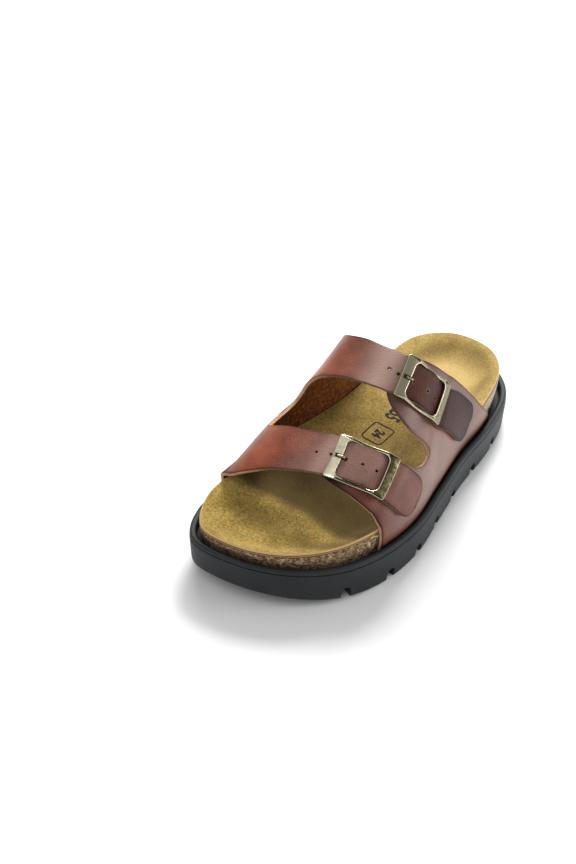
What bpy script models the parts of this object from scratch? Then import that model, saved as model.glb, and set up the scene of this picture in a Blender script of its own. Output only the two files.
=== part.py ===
"""Cork footbed sandal, left shoe: lug sole, cork footbed, suede insole, leather upper, two buckles.

Metres, +Z up. The toe points to -Y and the outer side of the foot to +X. The sole stands on Z = 0, with
the origin at the middle of its outline.
"""
import math

import bmesh
import bpy
import numpy as np

# Driving sizes
LENGTH = 0.250              # outsole from toe to heel
BALL_WIDTH = 0.108          # outsole across the ball
INSTEP = 0.1111             # top of the last over the instep, above the floor
RIM = 0.037                 # footbed rim above the floor, at the toe
RIM_RISE = 0.001            # how much higher the rim is at the heel
LIP = 0.0247                # sole lip above the floor at the ball
LIP_DROP = 0.0045           # fall of the lip towards the heel
LIP_SPRING = 0.5            # share of the toe's lift that the lip follows
TOE_SPRING = 0.0133         # lift of the tread at the toe
TOE_BREAK = -0.43           # where the tread leaves the floor, share of half the length
RECESS = 0.0054             # depth of the seat inside the lip
LEATHER = 0.0022            # thickness of the upper
LINING = 0.0026             # thickness of the suede insole with its backing
GAP = 0.0003                # clearance between pieces that touch
WALL_GAP = 0.0006           # clearance between the leather and the footbed's side
STRAP_GAP = 0.0006          # clearance between a strap and the outer quarter under it
WALL_INSET = 0.0027         # leather's outer face inside the sole's outline, at the footbed rim
WALL_TUCK = 0.0024          # how much further in that face is where it enters the lip
TUCK_TOP = 0.034            # height where the tuck ends
ARCH_FOOT = 0.022           # height where the arch of the last starts
UPRIGHT_END = (0.0382, 0.0442)      # between these heights the last's wall turns into its arch
SIDE_POWER = 2.29           # roundness of the arch, seen along the foot: sides
TOP_POWER = 3.1             # and top
STATIONS = 36               # stations along an outline, toe to heel
ACROSS = 8                  # cells across the footbed

# Notches in the side of the tread
NOTCH_WIDTH = 0.0062
NOTCH_HEIGHT = 0.0074
NOTCH_DEPTH = 0.012
NOTCH_OUT = 0.006           # how far their cutters stand out of the side
NOTCH_BELOW = 0.004         # and below the tread
NOTCHES = (-0.706, -0.461, -0.246, -0.036, 0.170, 0.387, 0.612)     # shares of half the length

# Buckles and what carries them
STRAP_WIDTH = 0.0218
TAIL_SPREAD = 0.0012        # added to each side of the strap beyond the buckle
TAIL_BLEND = 0.011          # over this length
STRAP_PLAY = 0.0002         # between the strap's edges and the side bars
BUCKLE_LENGTH = 0.0334
BAR_WIDTH = 0.0051          # the two flat bars that cross the strap
SIDE_WIDTH = 0.0018         # the two narrow side bars
BUCKLE_WIDTH = STRAP_WIDTH + 2 * (STRAP_PLAY + SIDE_WIDTH)
BUCKLE_THICK = 0.0017
CORNER = 0.0014             # outer corner radius of the frame
WINDOW_CORNER = 0.0036      # corner radius of its window
CHAMFER = 0.00045           # worn edges of the frame
RAIL_PLACES = (0.0079, 0.0054, 0.0030, 0.0, -0.0030, -0.0054, -0.0079)      # points along a side bar
RAIL_LOW = 0.0012           # the side bars are lowest this far each side of the centre bar
CENTRE_BAR = 0.00075        # radius
BAR_PLAY = 0.0002           # round the centre bar
PRONG = 0.0007              # radius of the prong
PRONG_REST = 0.0007         # depth of the notch in the wide bar where the prong lies
EYE_WIRE = 0.00045          # radius of the wire of its eye
PRONG_RUN = ((0.0022, -0.0012), (0.0042, -0.0015))
                            # its way under the strap: from the centre bar, and over the last
PRONG_BEND = ((0.0034, -0.0015), (0.0020, -0.0008), (0.0016, 0.0010))
                            # its way up through the strap: short of the wide bar, and over the last
PRONG_RISE = (0.0012, 0.0008)
                            # its bend above the strap: short of the wide bar, and below its rest on the bar
PRONG_LEVEL = 0.0006        # it lies level from this far short of the wide bar
SLOT_HALF = 0.0014          # half width of the slot in the tab that the eye turns in
SLOT_SHORT = 0.0001         # that slot ends this far short of the wide bar
STRAP_HOLE = (0.0030, 0.0006, 0.0021)       # hole that the prong uses: start short of the wide bar, end past
                                            # its edge, and width
HOLE_REACH = (-0.001, 0.009)        # heights over the last between which that hole is cut
CUT_PAST = 0.0005           # how far a cutter runs past what it cuts
LOOP_WALL = 0.0008          # leather loop round the centre bar
LOOP_PLAY = 0.0012          # between the ends of the loops and the side bars
SKIVE = 0.0008              # leather pared off the tab under the buckle
SKIVE_BLEND = 0.006         # over this length
TAIL_CORNER = 0.0085        # corner radius of a strap's tail
HUMP_LENGTH = 0.0105        # the strap is down again this far from the centre bar
RAIL_EXTRA = 0.0010         # how much deeper the side bars are at their middle
RAMP_LENGTH = 0.009         # the strap climbs onto the outer quarter over this length
STRAIGHT = 0.017            # the strap is straight this far each side of the centre bar
STRAIGHT_BLEND = 0.012      # and has its own line again after this much more
SOFTENING = 60              # how often the bends of that line are evened out

# Outline of the sole: place along it as a share of half the length, and across as a share of half the ball
OUTLINE = (
    (1.000, -0.04), (0.953, 0.35), (0.800, 0.63), (0.543, 0.765), (0.274, 0.81),
    (0.009, 0.905), (-0.265, 0.997), (-0.528, 0.927), (-0.754, 0.708), (-0.918, 0.320),
    (-0.998, -0.186), (-0.970, -0.727), (-0.750, -0.996), (-0.477, -0.980), (-0.215, -0.917),
    (0.062, -0.778), (0.310, -0.719), (0.555, -0.764), (0.809, -0.697), (0.958, -0.408),
)

# Sections of the last: share of half the length, height as a share of INSTEP, lean to the inner side as a
# share of half the ball
SECTIONS = (
    (-0.84, 0.400, -0.13), (-0.68, 0.482, -0.12), (-0.56, 0.576, -0.12), (-0.40, 0.664, -0.075),
    (-0.24, 0.739, -0.04), (-0.08, 0.833, 0.02), (0.08, 0.942, 0.08), (0.24, 0.995, 0.14),
    (0.40, 0.911, 0.14), (0.56, 0.66, 0.14), (0.72, 0.54, 0.14),
)

# Side of the outsole from the tread to the seat: inset in shares of the lip's width, and level in shares of
# the height from tread to lip
LIP_WIDTH = 0.0042
SIDE_PROFILE = (
    (0.52, 0.00), (0.27, 0.055), (0.13, 0.40), (0.00, 0.80), (0.22, 0.835), (0.04, 0.87),
    (0.04, 0.935), (0.17, 0.98), (0.45, 1.00), (0.84, 0.985), (1.00, 0.93),
)

# Footbed: share of half the length, depth below the rim, width of the rise to the rim, lift of the inner
# side
LINING_SEAM = 0.0003        # depth of the line between the suede and its backing
LINING_ROUND = 0.0006       # rounding of the suede's upper edge
CUP_DEPTH = 0.0095
CUP_RISE = 0.020
ARCH_LIFT = 0.0055
BED = (
    (-1.0, 0.36, 0.55, 0.0), (-0.75, 0.50, 0.65, 0.0), (-0.45, 0.62, 0.80, 0.15), (-0.15, 0.58, 0.90, 0.6),
    (0.10, 0.60, 1.00, 1.0), (0.35, 0.80, 1.05, 0.7), (0.65, 1.00, 1.05, 0.2), (1.0, 0.95, 1.0, 0.0),
)

# Cut pieces of the upper, on the last. Each row crosses a strap: share of the girth and share of half the
# length at the front edge, then the same at the rear edge. Girth runs from the outer side (0) to the inner
# side (1).
INNER_FRONT = (
    (1.00, -0.600, 1.00, -0.060), (0.90, -0.604, 0.90, -0.110), (0.84, -0.618, 0.84, -0.175),
    (0.80, -0.636, 0.800, -0.235), (0.77, -0.642, 0.792, -0.305), (0.74, -0.638, 0.768, -0.355),
    (0.71, -0.633, 0.735, -0.382), (0.67, -0.623, 0.690, -0.396), (0.60, -0.602, 0.610, -0.402),
)
INNER_REAR = (
    (1.00, -0.060, 1.00, 0.610), (0.90, -0.110, 0.90, 0.508), (0.84, -0.175, 0.84, 0.416),
    (0.80, -0.235, 0.80, 0.344), (0.799, -0.170, 0.77, 0.280), (0.786, -0.128, 0.74, 0.224),
    (0.755, -0.110, 0.71, 0.168), (0.700, -0.118, 0.66, 0.106), (0.62, -0.130, 0.60, 0.058),
    (0.53, -0.130, 0.53, 0.042),
)
OUTER_FRONT = (
    (0.00, -0.496, 0.00, -0.130), (0.08, -0.512, 0.08, -0.130), (0.14, -0.524, 0.14, -0.132),
    (0.190, -0.536, 0.190, -0.140), (0.203, -0.543, 0.192, -0.168), (0.22, -0.550, 0.200, -0.198),
    (0.26, -0.562, 0.218, -0.236), (0.31, -0.568, 0.245, -0.275), (0.36, -0.570, 0.290, -0.325),
    (0.405, -0.565, 0.345, -0.362), (0.435, -0.552, 0.395, -0.388), (0.447, -0.525, 0.436, -0.425),
)
OUTER_REAR = (
    (0.00, -0.130, 0.00, 0.624), (0.08, -0.130, 0.08, 0.560), (0.14, -0.132, 0.14, 0.464),
    (0.190, -0.140, 0.190, 0.376), (0.193, -0.116, 0.203, 0.352), (0.206, -0.103, 0.22, 0.326),
    (0.236, -0.116, 0.26, 0.260), (0.275, -0.148, 0.30, 0.200), (0.32, -0.164, 0.345, 0.146),
    (0.37, -0.160, 0.39, 0.098), (0.41, -0.138, 0.425, 0.066), (0.440, -0.096, 0.446, 0.020),
)
SPLIT_ROW = 3               # the row where the opening between the straps starts
TABLE_STEPS = 3             # rows made from each row of a table
CELLS = 7                   # cells across a strap

# Middle line of each strap from its free part to its tail: share of the girth, share of half the length
FRONT_LINE = ((0.60, -0.502), (0.52, -0.488), (0.42, -0.468), (0.34, -0.444), (0.26, -0.404), (0.19, -0.352),
              (0.125, -0.298))
REAR_LINE = ((0.60, -0.036), (0.52, -0.044), (0.42, -0.028), (0.34, 0.008), (0.265, 0.068), (0.205, 0.158),
             (0.118, 0.290))
BUCKLE_ROW = 3              # the buckle sits at this point of the line


BED_INSET = WALL_INSET + LEATHER + WALL_GAP             # footbed's rim inside the sole's outline


def eased(value):
    """Smooth step from 0 to 1."""
    value = np.clip(value, 0.0, 1.0)
    return value * value * (3.0 - 2.0 * value)


def column(table, index, at):
    """Smooth reading of one column of a table whose first column is the place."""
    rows = np.array(table)
    place, value = rows[:, 0], rows[:, index]
    slope = np.gradient(value, place)
    at = np.clip(at, place[0], place[-1])
    low = np.clip(np.searchsorted(place, at, side="right") - 1, 0, len(place) - 2)
    step = place[low + 1] - place[low]
    t = (at - place[low]) / step
    return ((2 * t ** 3 - 3 * t ** 2 + 1) * value[low] + (t ** 3 - 2 * t ** 2 + t) * step * slope[low]
            + (3 * t ** 2 - 2 * t ** 3) * value[low + 1] + (t ** 3 - t ** 2) * step * slope[low + 1])


def through(points, steps, closed=False):
    """Smooth curve through a short list of points."""
    points = np.array(points, float)
    count = len(points)
    curve = []
    for index in range(count if closed else count - 1):
        near = [index - 1, index, index + 1, index + 2]
        near = [k % count if closed else min(max(k, 0), count - 1) for k in near]
        a, b, c, d = points[near]
        for t in np.arange(steps) / steps:
            curve.append(0.5 * (2 * b + (c - a) * t + (2 * a - 5 * b + 4 * c - d) * t ** 2
                                + (d - a + 3 * b - 3 * c) * t ** 3))
    if not closed:
        curve.append(points[-1])
    return np.array(curve)


def sole_outline():
    """Outline of the sole as (x, y), with its exact length and centred on the origin."""
    curve = through(OUTLINE, 24, closed=True)[:, ::-1]
    low, high = curve.min(0), curve.max(0)
    curve = (curve - (low + high) / 2) * (BALL_WIDTH / 2, 2 / (high[1] - low[1]) * LENGTH / 2)
    return curve


SOLE = sole_outline()


def inset_outline(inset):
    """The sole's outline moved inwards."""
    along = np.roll(SOLE, -1, 0) - np.roll(SOLE, 1, 0)
    along /= np.linalg.norm(along, axis=1)[:, None]
    inward = np.stack([-along[:, 1], along[:, 0]], 1)
    if ((SOLE + inward) ** 2).sum() > ((SOLE - inward) ** 2).sum():
        inward = -inward
    return SOLE + inward * inset


def two_sides(inset):
    """Outer and inner side of an inset outline, each sorted from toe to heel."""
    curve = inset_outline(inset)
    toe, heel = curve[:, 1].argmin(), curve[:, 1].argmax()
    count = len(curve)
    forward = np.array([curve[(toe + k) % count] for k in range((heel - toe) % count + 1)])
    backward = np.array([curve[(toe - k) % count] for k in range((toe - heel) % count + 1)])
    return (forward, backward) if forward[:, 0].mean() > backward[:, 0].mean() else (backward, forward)


def ring(inset):
    """Points round an outline: toe, outer side, heel, inner side, in pairs at one station."""
    outer, inner = two_sides(inset)
    toe, heel = outer[0], outer[-1]
    turn = np.arange(1, STATIONS) * math.pi / STATIONS
    y = (toe[1] + heel[1]) / 2 - (heel[1] - toe[1]) / 2 * np.cos(turn)
    right = np.stack([np.interp(y, outer[:, 1], outer[:, 0]), y], 1)
    left = np.stack([np.interp(y, inner[:, 1], inner[:, 0]), y], 1)
    return np.concatenate([[toe], right, [heel], left[::-1]])


def tread_height(y):
    """Underside of the sole above the floor."""
    start = TOE_BREAK * LENGTH / 2
    return TOE_SPRING * np.clip((start - y) / (LENGTH / 2 + start), 0, 1) ** 2


def lip_height(y):
    """Top of the sole's lip."""
    drop = LIP_DROP * np.clip(y / LENGTH + 0.5 + TOE_BREAK / 2, 0, 1)
    return LIP + LIP_SPRING * tread_height(y) - drop


def seat_height(y):
    """Floor of the recess inside the lip."""
    return lip_height(y) - RECESS


def wall_inset(z):
    """How far the leather's outer face lies inside the sole's outline, at a height on the footbed's side."""
    tuck = np.clip((TUCK_TOP - z) / (TUCK_TOP - ARCH_FOOT + 0.001), 0, 1) ** 1.5
    return WALL_INSET + WALL_TUCK * tuck


def rim_height(y):
    """Rim of the footbed."""
    return RIM + RIM_RISE * (y / LENGTH + 0.5)


def bed_height(points):
    """Top of the footbed at (x, y): a dish below the rim, lifted under the arch of the foot."""
    edge = inset_outline(BED_INSET)
    away = np.sqrt(((points[:, None, :] - edge[None]) ** 2).sum(2)).min(1)
    share = points[:, 1] / (LENGTH / 2)
    depth = CUP_DEPTH * column(BED, 1, share)
    rise = CUP_RISE * column(BED, 2, share)
    lift = ARCH_LIFT * column(BED, 3, share) * eased(-points[:, 0] / (BALL_WIDTH / 2) * 1.4 + 0.1)
    dish = eased(away / rise)
    return rim_height(points[:, 1]) - (depth - lift) * dish


class Shell:
    """Points and faces of one closed body."""

    def __init__(self):
        self.points = []
        self.faces = []

    def add(self, points):
        start = len(self.points)
        self.points.extend([tuple(map(float, point)) for point in points])
        return list(range(start, len(self.points)))

    def band(self, lower, upper):
        """Quads between two closed rings of equal length."""
        for k in range(len(lower)):
            n = (k + 1) % len(lower)
            self.faces.append((lower[k], lower[n], upper[n], upper[k]))

    def ladder(self, loop):
        """Flat or bent cap across a ring of paired stations."""
        for k in range(1, STATIONS - 1):
            self.faces.append((loop[k], loop[k + 1], loop[-k - 1], loop[-k]))
        self.faces.append((loop[0], loop[1], loop[-1]))
        self.faces.append((loop[STATIONS - 1], loop[STATIONS], loop[STATIONS + 1]))

    def dish(self, loop, drop):
        """Cap across a ring that follows the footbed's dish, lowered by drop."""
        rows = []
        for k in range(1, STATIONS):
            right, left = np.array(self.points[loop[k]]), np.array(self.points[loop[-k]])
            share = np.arange(1, ACROSS) / ACROSS
            flat = left[None, :2] + (right - left)[None, :2] * share[:, None]
            height = bed_height(flat) - drop
            inner = self.add([(x, y, z) for (x, y), z in zip(flat, height)])
            rows.append([loop[-k]] + inner + [loop[k]])
        for near, far in zip(rows, rows[1:]):
            for k in range(ACROSS):
                self.faces.append((near[k], near[k + 1], far[k + 1], far[k]))
        for tip, row in ((loop[0], rows[0]), (loop[STATIONS], rows[-1])):
            for k in range(ACROSS):
                self.faces.append((tip, row[k], row[k + 1]))

    def build(self, name, material):
        mesh = bpy.data.meshes.new(name)
        body = bmesh.new()
        vertices = [body.verts.new(point) for point in self.points]
        for face in self.faces:
            body.faces.new([vertices[k] for k in face])
        bmesh.ops.recalc_face_normals(body, faces=body.faces)
        body.to_mesh(mesh)
        body.free()
        mesh.shade_smooth()
        mesh.set_sharp_from_angle(angle=math.radians(40))
        mesh.materials.append(material)
        thing = bpy.data.objects.new(name, mesh)
        bpy.context.scene.collection.objects.link(thing)
        return thing


def make_material(name, colour, roughness, metallic=0.0):
    material = bpy.data.materials.new(name)
    material.use_nodes = True
    shader = material.node_tree.nodes["Principled BSDF"]
    shader.inputs["Base Color"].default_value = (*colour, 1.0)
    shader.inputs["Roughness"].default_value = roughness
    shader.inputs["Metallic"].default_value = metallic
    material.diffuse_color = (*colour, 1.0)
    return material


def cut(body, cutter, operation="DIFFERENCE"):
    """Boolean with a hidden cutter, or with a piece that joins the body."""
    cutter.hide_render = True
    cutter.display_type = "WIRE"
    modifier = body.modifiers.new(operation.title() + " " + cutter.name, "BOOLEAN")
    modifier.operation = operation
    modifier.solver = "EXACT"
    modifier.object = cutter


def side_place(y, outer):
    """Point on the sole's outline at y, on its outer or inner side, and the direction outwards."""
    curve = two_sides(0.0)[0 if outer else 1]
    x = np.interp(y, curve[:, 1], curve[:, 0])
    step = 0.002
    behind, before = np.interp([y + step, y - step], curve[:, 1], curve[:, 0])
    slope = (behind - before) / (2 * step)
    out = np.array([1.0, -slope]) if outer else np.array([-1.0, slope])
    return np.array([x, y]), out / np.linalg.norm(out)


def arch_cutter(name, place, out, floor):
    """Round-topped tunnel from inside the sole to outside it."""
    across = np.array([-out[1], out[0]])
    radius = NOTCH_WIDTH / 2
    top = floor + NOTCH_HEIGHT - radius
    profile = [(-radius, floor - NOTCH_BELOW), (radius, floor - NOTCH_BELOW)]
    profile += [(radius * math.cos(a), top + radius * math.sin(a)) for a in np.linspace(0, math.pi, 7)]
    shell = Shell()
    loops = []
    for reach in (-NOTCH_DEPTH, NOTCH_OUT):
        loops.append(shell.add([(*(place + out * reach + across * u), z) for u, z in profile]))
    shell.band(*loops)
    shell.faces += [loops[0][::-1], loops[1]]
    return shell.build(name, None)


def make_outsole(rubber):
    """Lug sole: side wall with its groove line and lip, seat for the footbed, notches in its tread."""
    shell = Shell()
    loops = []
    for inset, level in SIDE_PROFILE:
        flat = ring(inset * LIP_WIDTH)
        low, high = tread_height(flat[:, 1]), lip_height(flat[:, 1])
        loops.append(shell.add(np.column_stack([flat, low + (high - low) * level])))
    flat = ring(LIP_WIDTH)
    loops.append(shell.add(np.column_stack([flat, seat_height(flat[:, 1])])))
    for lower, upper in zip(loops, loops[1:]):
        shell.band(lower, upper)
    shell.ladder(loops[0])
    shell.ladder(loops[-1])
    sole = shell.build("outsole", rubber)
    for number, share in enumerate(NOTCHES):
        y = share * LENGTH / 2
        floor = float(tread_height(y))
        for outer in (True, False):
            if not outer and number == 0:
                continue
            place, out = side_place(y, outer)
            name = f"notch_{'outer' if outer else 'inner'}_{number}"
            cut(sole, arch_cutter(name, place, out, floor))
    return sole


def make_footbed(cork):
    """Cork body: tapered side wall and a dished top under the insole."""
    shell = Shell()
    loops = []
    clear = LEATHER + WALL_GAP
    lowest = LIP - RECESS
    for share in (0.0, 0.34, 0.52, 0.70, 0.85, 1.0):
        level = lowest + (RIM - LINING - lowest) * share
        flat = ring(float(wall_inset(level)) + clear)
        seat = seat_height(flat[:, 1]) + GAP
        top = rim_height(flat[:, 1]) - LINING - GAP
        loops.append(shell.add(np.column_stack([flat, seat + (top - seat) * share])))
    for lower, upper in zip(loops, loops[1:]):
        shell.band(lower, upper)
    shell.ladder(loops[0])
    shell.dish(loops[-1], LINING + GAP)
    return shell.build("cork_footbed", cork)


def make_insole(suede):
    """Suede insole: an even sheet on the footbed's dish, its edge flush with the cork."""
    shell = Shell()
    loops = []
    profile = ((1.0, 0.0), (0.56, 0.0), (0.5, LINING_SEAM), (0.44, 0.0), (0.14, 0.0), (0.0, LINING_ROUND))
    for depth, inset in profile:
        points = ring(BED_INSET + inset)
        loops.append(shell.add(np.column_stack([points, rim_height(points[:, 1]) - depth * LINING])))
    for lower, upper in zip(loops, loops[1:]):
        shell.band(lower, upper)
    shell.dish(loops[0], LINING)
    shell.dish(loops[-1], 0.0)
    return shell.build("suede_insole", suede)


SECTION_TURN = np.concatenate([[0.0], np.geomspace(1e-4, 0.05, 18), np.linspace(0.06, math.pi - 0.06, 110),
                               math.pi - np.geomspace(0.05, 1e-4, 18), [math.pi]])
OUTER_SIDE, INNER_SIDE = two_sides(WALL_INSET)
SECTION_CACHE = {}


def last_section(y):
    """Cross-section of the last at y: x, z and girth from the outer side over the top to the inner side."""
    key = round(float(y), 6)
    if key in SECTION_CACHE:
        return SECTION_CACHE[key]
    share = y / (LENGTH / 2)
    height = INSTEP * float(column(SECTIONS, 1, share)) - ARCH_FOOT
    lean = BALL_WIDTH / 2 * float(column(SECTIONS, 2, share))
    right = np.interp(y, OUTER_SIDE[:, 1], OUTER_SIDE[:, 0])
    left = np.interp(y, INNER_SIDE[:, 1], INNER_SIDE[:, 0])
    half, middle = (right - left) / 2, (right + left) / 2
    cosine, sine = np.cos(SECTION_TURN), np.abs(np.sin(SECTION_TURN))
    z = ARCH_FOOT + height * sine ** (2 / TOP_POWER)
    side = half * np.abs(cosine) ** (2 / SIDE_POWER)
    upright = (1 - eased((z - UPRIGHT_END[0]) / (UPRIGHT_END[1] - UPRIGHT_END[0]))) * (np.abs(cosine) > 0.5)
    side = side + np.maximum(half - side, 0) * upright - (wall_inset(z) - WALL_INSET)
    x = middle + side * np.sign(cosine) - lean * sine ** 2 * (1 - upright)
    foot = float(seat_height(y)) + GAP + 0.0001
    x = np.concatenate([[x[0]], x, [x[-1]]])
    z = np.concatenate([[foot], z, [foot]])
    girth = np.concatenate([[0.0], np.cumsum(np.hypot(np.diff(x), np.diff(z)))])
    SECTION_CACHE[key] = (x, z, girth)
    return SECTION_CACHE[key]


def on_last(share, y):
    """Point of the last's surface at a share of its girth."""
    x, z, girth = last_section(y)
    at = share * girth[-1]
    return np.array([np.interp(at, girth, x), y, np.interp(at, girth, z)])


def off_last(share, y, lift):
    """Point at a height over the last's surface, and the direction out of it."""
    share = min(max(share, 0.0), 1.0)
    low, high = max(share - 0.012, 0.0), min(share + 0.012, 1.0)
    round_it = on_last(high, y) - on_last(low, y)
    along = on_last(share, y + 0.0015) - on_last(share, y - 0.0015)
    out = np.cross(along, round_it)
    out /= np.linalg.norm(out)
    return on_last(share, y) + out * lift


class StrapLine:
    """Middle line of a strap.

    p is metres along it from the buckle towards the inner side, and q is metres across it towards the heel.
    """

    def __init__(self, rows):
        rows = np.array(rows) * (1.0, LENGTH / 2)
        self.curve = through(rows, 16)[::-1]
        self.measure()
        centre = np.array([np.interp(0.0, self.p, self.curve[:, k]) for k in (0, 1)])
        ahead = self.spot(STRAIGHT / 2) - self.spot(-STRAIGHT / 2)
        out = off_last(*centre, 1.0) - on_last(*centre)
        self.square = np.cross(out, ahead)
        self.square *= np.sign(self.square[1]) / np.linalg.norm(self.square)
        middle = self.spot(0.0)
        for repeat in range(2):
            self.across = np.array([self.side_step(k) for k in range(len(self.p))])
            away = np.array([(on_last(*place) - middle).dot(self.square) for place in self.curve])
            self.curve = self.curve - self.across * (away * self.stiff)[:, None]
            self.measure()
        self.soften(self.curve)
        self.measure()
        self.across = np.array([self.side_step(k) for k in range(len(self.p))])
        self.soften(self.across)

    def soften(self, rows):
        """Evens out the bends beyond the straight stretch."""
        for repeat in range(SOFTENING):
            bend = rows[:-2] + rows[2:] - 2 * rows[1:-1]
            rows[1:-1] += bend * ((1 - self.stiff[1:-1]) / 4)[:, None]

    def measure(self):
        """Length along the line from the buckle, and where the strap is straight."""
        spots = np.array([on_last(share, y) for share, y in self.curve])
        length = np.concatenate([[0.0], np.cumsum(np.linalg.norm(np.diff(spots, axis=0), axis=1))])
        self.p = length - length[len(length) - 1 - BUCKLE_ROW * 16]
        self.end = self.p[0]
        self.stiff = 1 - eased((np.abs(self.p) - STRAIGHT) / STRAIGHT_BLEND)

    def place(self, share, y):
        """Length along the line at a place beside it."""
        ahead = self.spot(STRAIGHT / 2) - self.spot(-STRAIGHT / 2)
        near = np.abs(self.p) < 2 * STRAIGHT
        steps = np.array([on_last(*spot).dot(ahead) for spot in self.curve[near]])
        return np.interp(on_last(share, y).dot(ahead), steps, self.p[near])

    def spot(self, p):
        return on_last(*(np.interp(p, self.p, self.curve[:, k]) for k in (0, 1)))

    def side_step(self, k):
        """Step in (share, y) for one metre across the line on the surface."""
        share, y = self.curve[k]
        a, b = self.curve[max(k - 2, 0)], self.curve[min(k + 2, len(self.curve) - 1)]
        turn = (on_last(share + 0.004, y) - on_last(share - 0.004, y)) / 0.008
        along = (on_last(share, y + 0.001) - on_last(share, y - 0.001)) / 0.002
        ahead = turn * (b - a)[0] + along * (b - a)[1]
        ahead /= np.linalg.norm(ahead)
        sideways = along - ahead * along.dot(ahead)
        sideways /= np.linalg.norm(sideways)
        sideways += (self.square - sideways) * self.stiff[k]
        return np.linalg.lstsq(np.stack([turn, along], 1), sideways, rcond=None)[0]

    def flat(self, p, q):
        """(share, y) at a place on the strap."""
        here = [np.interp(p, self.p, self.curve[:, k]) for k in (0, 1)]
        step = [np.interp(p, self.p, self.across[:, k]) for k in (0, 1)]
        return here[0] + step[0] * q, here[1] + step[1] * q

    def at(self, p, q, lift):
        return off_last(*self.flat(p, q), lift)


FRAME_LOW = GAP - SKIVE                                 # underside of the frame's middle over the tab
FRAME_HIGH = STRAP_GAP + LEATHER + GAP - SKIVE          # underside of its two wide bars over the strap
BAR_LIFT = FRAME_LOW + BUCKLE_THICK / 2                 # centre bar's axis
EYE = CENTRE_BAR + BAR_PLAY + EYE_WIRE                  # radius of the prong's eye, to its wire's axis
HUMP = BAR_LIFT + EYE + EYE_WIRE + GAP                  # inner face of the strap over the prong's eye
PRONG_LIFT = FRAME_HIGH + BUCKLE_THICK - PRONG_REST + PRONG
BAR_START = BUCKLE_LENGTH / 2 - BAR_WIDTH


def pared(p):
    """Leather pared off the tab at a place along the strap."""
    return SKIVE * eased((p + BUCKLE_LENGTH / 2 + SKIVE_BLEND) / SKIVE_BLEND)


def strap_lift(p, tab_end):
    """Height of a strap's outer face over the last: on the foot, over the tab, and over the centre bar."""
    climb = eased((tab_end + RAMP_LENGTH - p) / RAMP_LENGTH)
    hump = 1 - eased(abs(p) / HUMP_LENGTH)
    over = LEATHER + STRAP_GAP - pared(p)
    return over * climb + (HUMP + LEATHER - over) * hump


def sheet(name, strips, material):
    """Leather piece from strips of rows.

    A row is its front place, its rear place, the height of the outer face over the last, and a line. With a
    line that isn't None, the outer face is pared off under that strap's buckle.
    """
    index, points, faces, uses = {}, [], [], {}

    def corner(share, y, lift, line):
        key = (round(share, 6), round(y, 6))
        if key not in index:
            index[key] = len(points)
            less = 0.0 if line is None else float(pared(line.place(share, y)))
            points.append((off_last(share, y, lift - less), off_last(share, y, lift - LEATHER)))
        return index[key]

    for rows in strips:
        lines = []
        for front, rear, lift, line in rows:
            front, rear = np.array(front), np.array(rear)
            shares = np.arange(CELLS + 1) / CELLS
            lines.append([corner(*(front + (rear - front) * part), lift, line) for part in shares])
        for near, far in zip(lines, lines[1:]):
            faces += [(near[k], near[k + 1], far[k + 1], far[k]) for k in range(CELLS)]
    shell = Shell()
    outer = shell.add([pair[0] for pair in points])
    inner = shell.add([pair[1] for pair in points])
    for face in faces:
        shell.faces.append(tuple(outer[k] for k in face))
        shell.faces.append(tuple(inner[k] for k in reversed(face)))
        for a, b in zip(face, face[1:] + face[:1]):
            uses.setdefault(frozenset((a, b)), []).append((a, b))
    for sides in uses.values():
        if len(sides) == 1:
            a, b = sides[0]
            shell.faces.append((outer[b], outer[a], inner[a], inner[b]))
    return shell.build(name, material)


def table_rows(table, shared, other, line=None):
    """Rows of one strip, smoothed, and pared under the buckle if a line is given.

    The edge that it shares with the other strip is straight between rows up to the opening, and from there
    the edges of both strips are one smooth curve.
    """
    size = np.array((1.0, LENGTH / 2, 1.0, LENGTH / 2))
    rows, beyond = np.array(table) * size, np.array(other) * size
    smooth = through(rows, TABLE_STEPS)
    split = SPLIT_ROW * TABLE_STEPS
    for k in range(split):
        base, part = divmod(k, TABLE_STEPS)
        edge = rows[base] + (rows[base + 1] - rows[base]) * part / TABLE_STEPS
        smooth[k, shared:shared + 2] = edge[shared:shared + 2]
    first = beyond[SPLIT_ROW + 1, 2 - shared:4 - shared]
    opening = np.concatenate([[first], rows[SPLIT_ROW:, shared:shared + 2]])
    smooth[split:, shared:shared + 2] = through(opening, TABLE_STEPS)[TABLE_STEPS:]
    return [((row[0], row[1]), (row[2], row[3]), 0.0, line) for row in smooth]


def strap_rows(line, tab_end):
    """Rows of a strap from the end of its table over the buckle to its tail."""
    half = STRAP_WIDTH / 2
    free = np.linspace(tab_end + RAMP_LENGTH, HUMP_LENGTH, 6)
    buckle = np.linspace(HUMP_LENGTH, -HUMP_LENGTH, 11)[1:]
    tail = np.linspace(-HUMP_LENGTH, line.end + TAIL_CORNER, 10)[1:]
    tip = line.end + TAIL_CORNER * (1 - np.sin(np.linspace(0, math.pi / 2, 6)[1:]))
    rows = []
    for p in np.concatenate([free, buckle, tail, tip]):
        corner = max(TAIL_CORNER - (p - line.end), 0.0)
        beyond = eased((-p - HUMP_LENGTH) / TAIL_BLEND) + eased((p - HUMP_LENGTH) / TAIL_BLEND)
        width = half + TAIL_SPREAD * beyond
        width -= TAIL_CORNER - math.sqrt(TAIL_CORNER ** 2 - corner ** 2)
        rows.append((line.flat(p, -width), line.flat(p, width), strap_lift(p, tab_end), None))
    return rows


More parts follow.
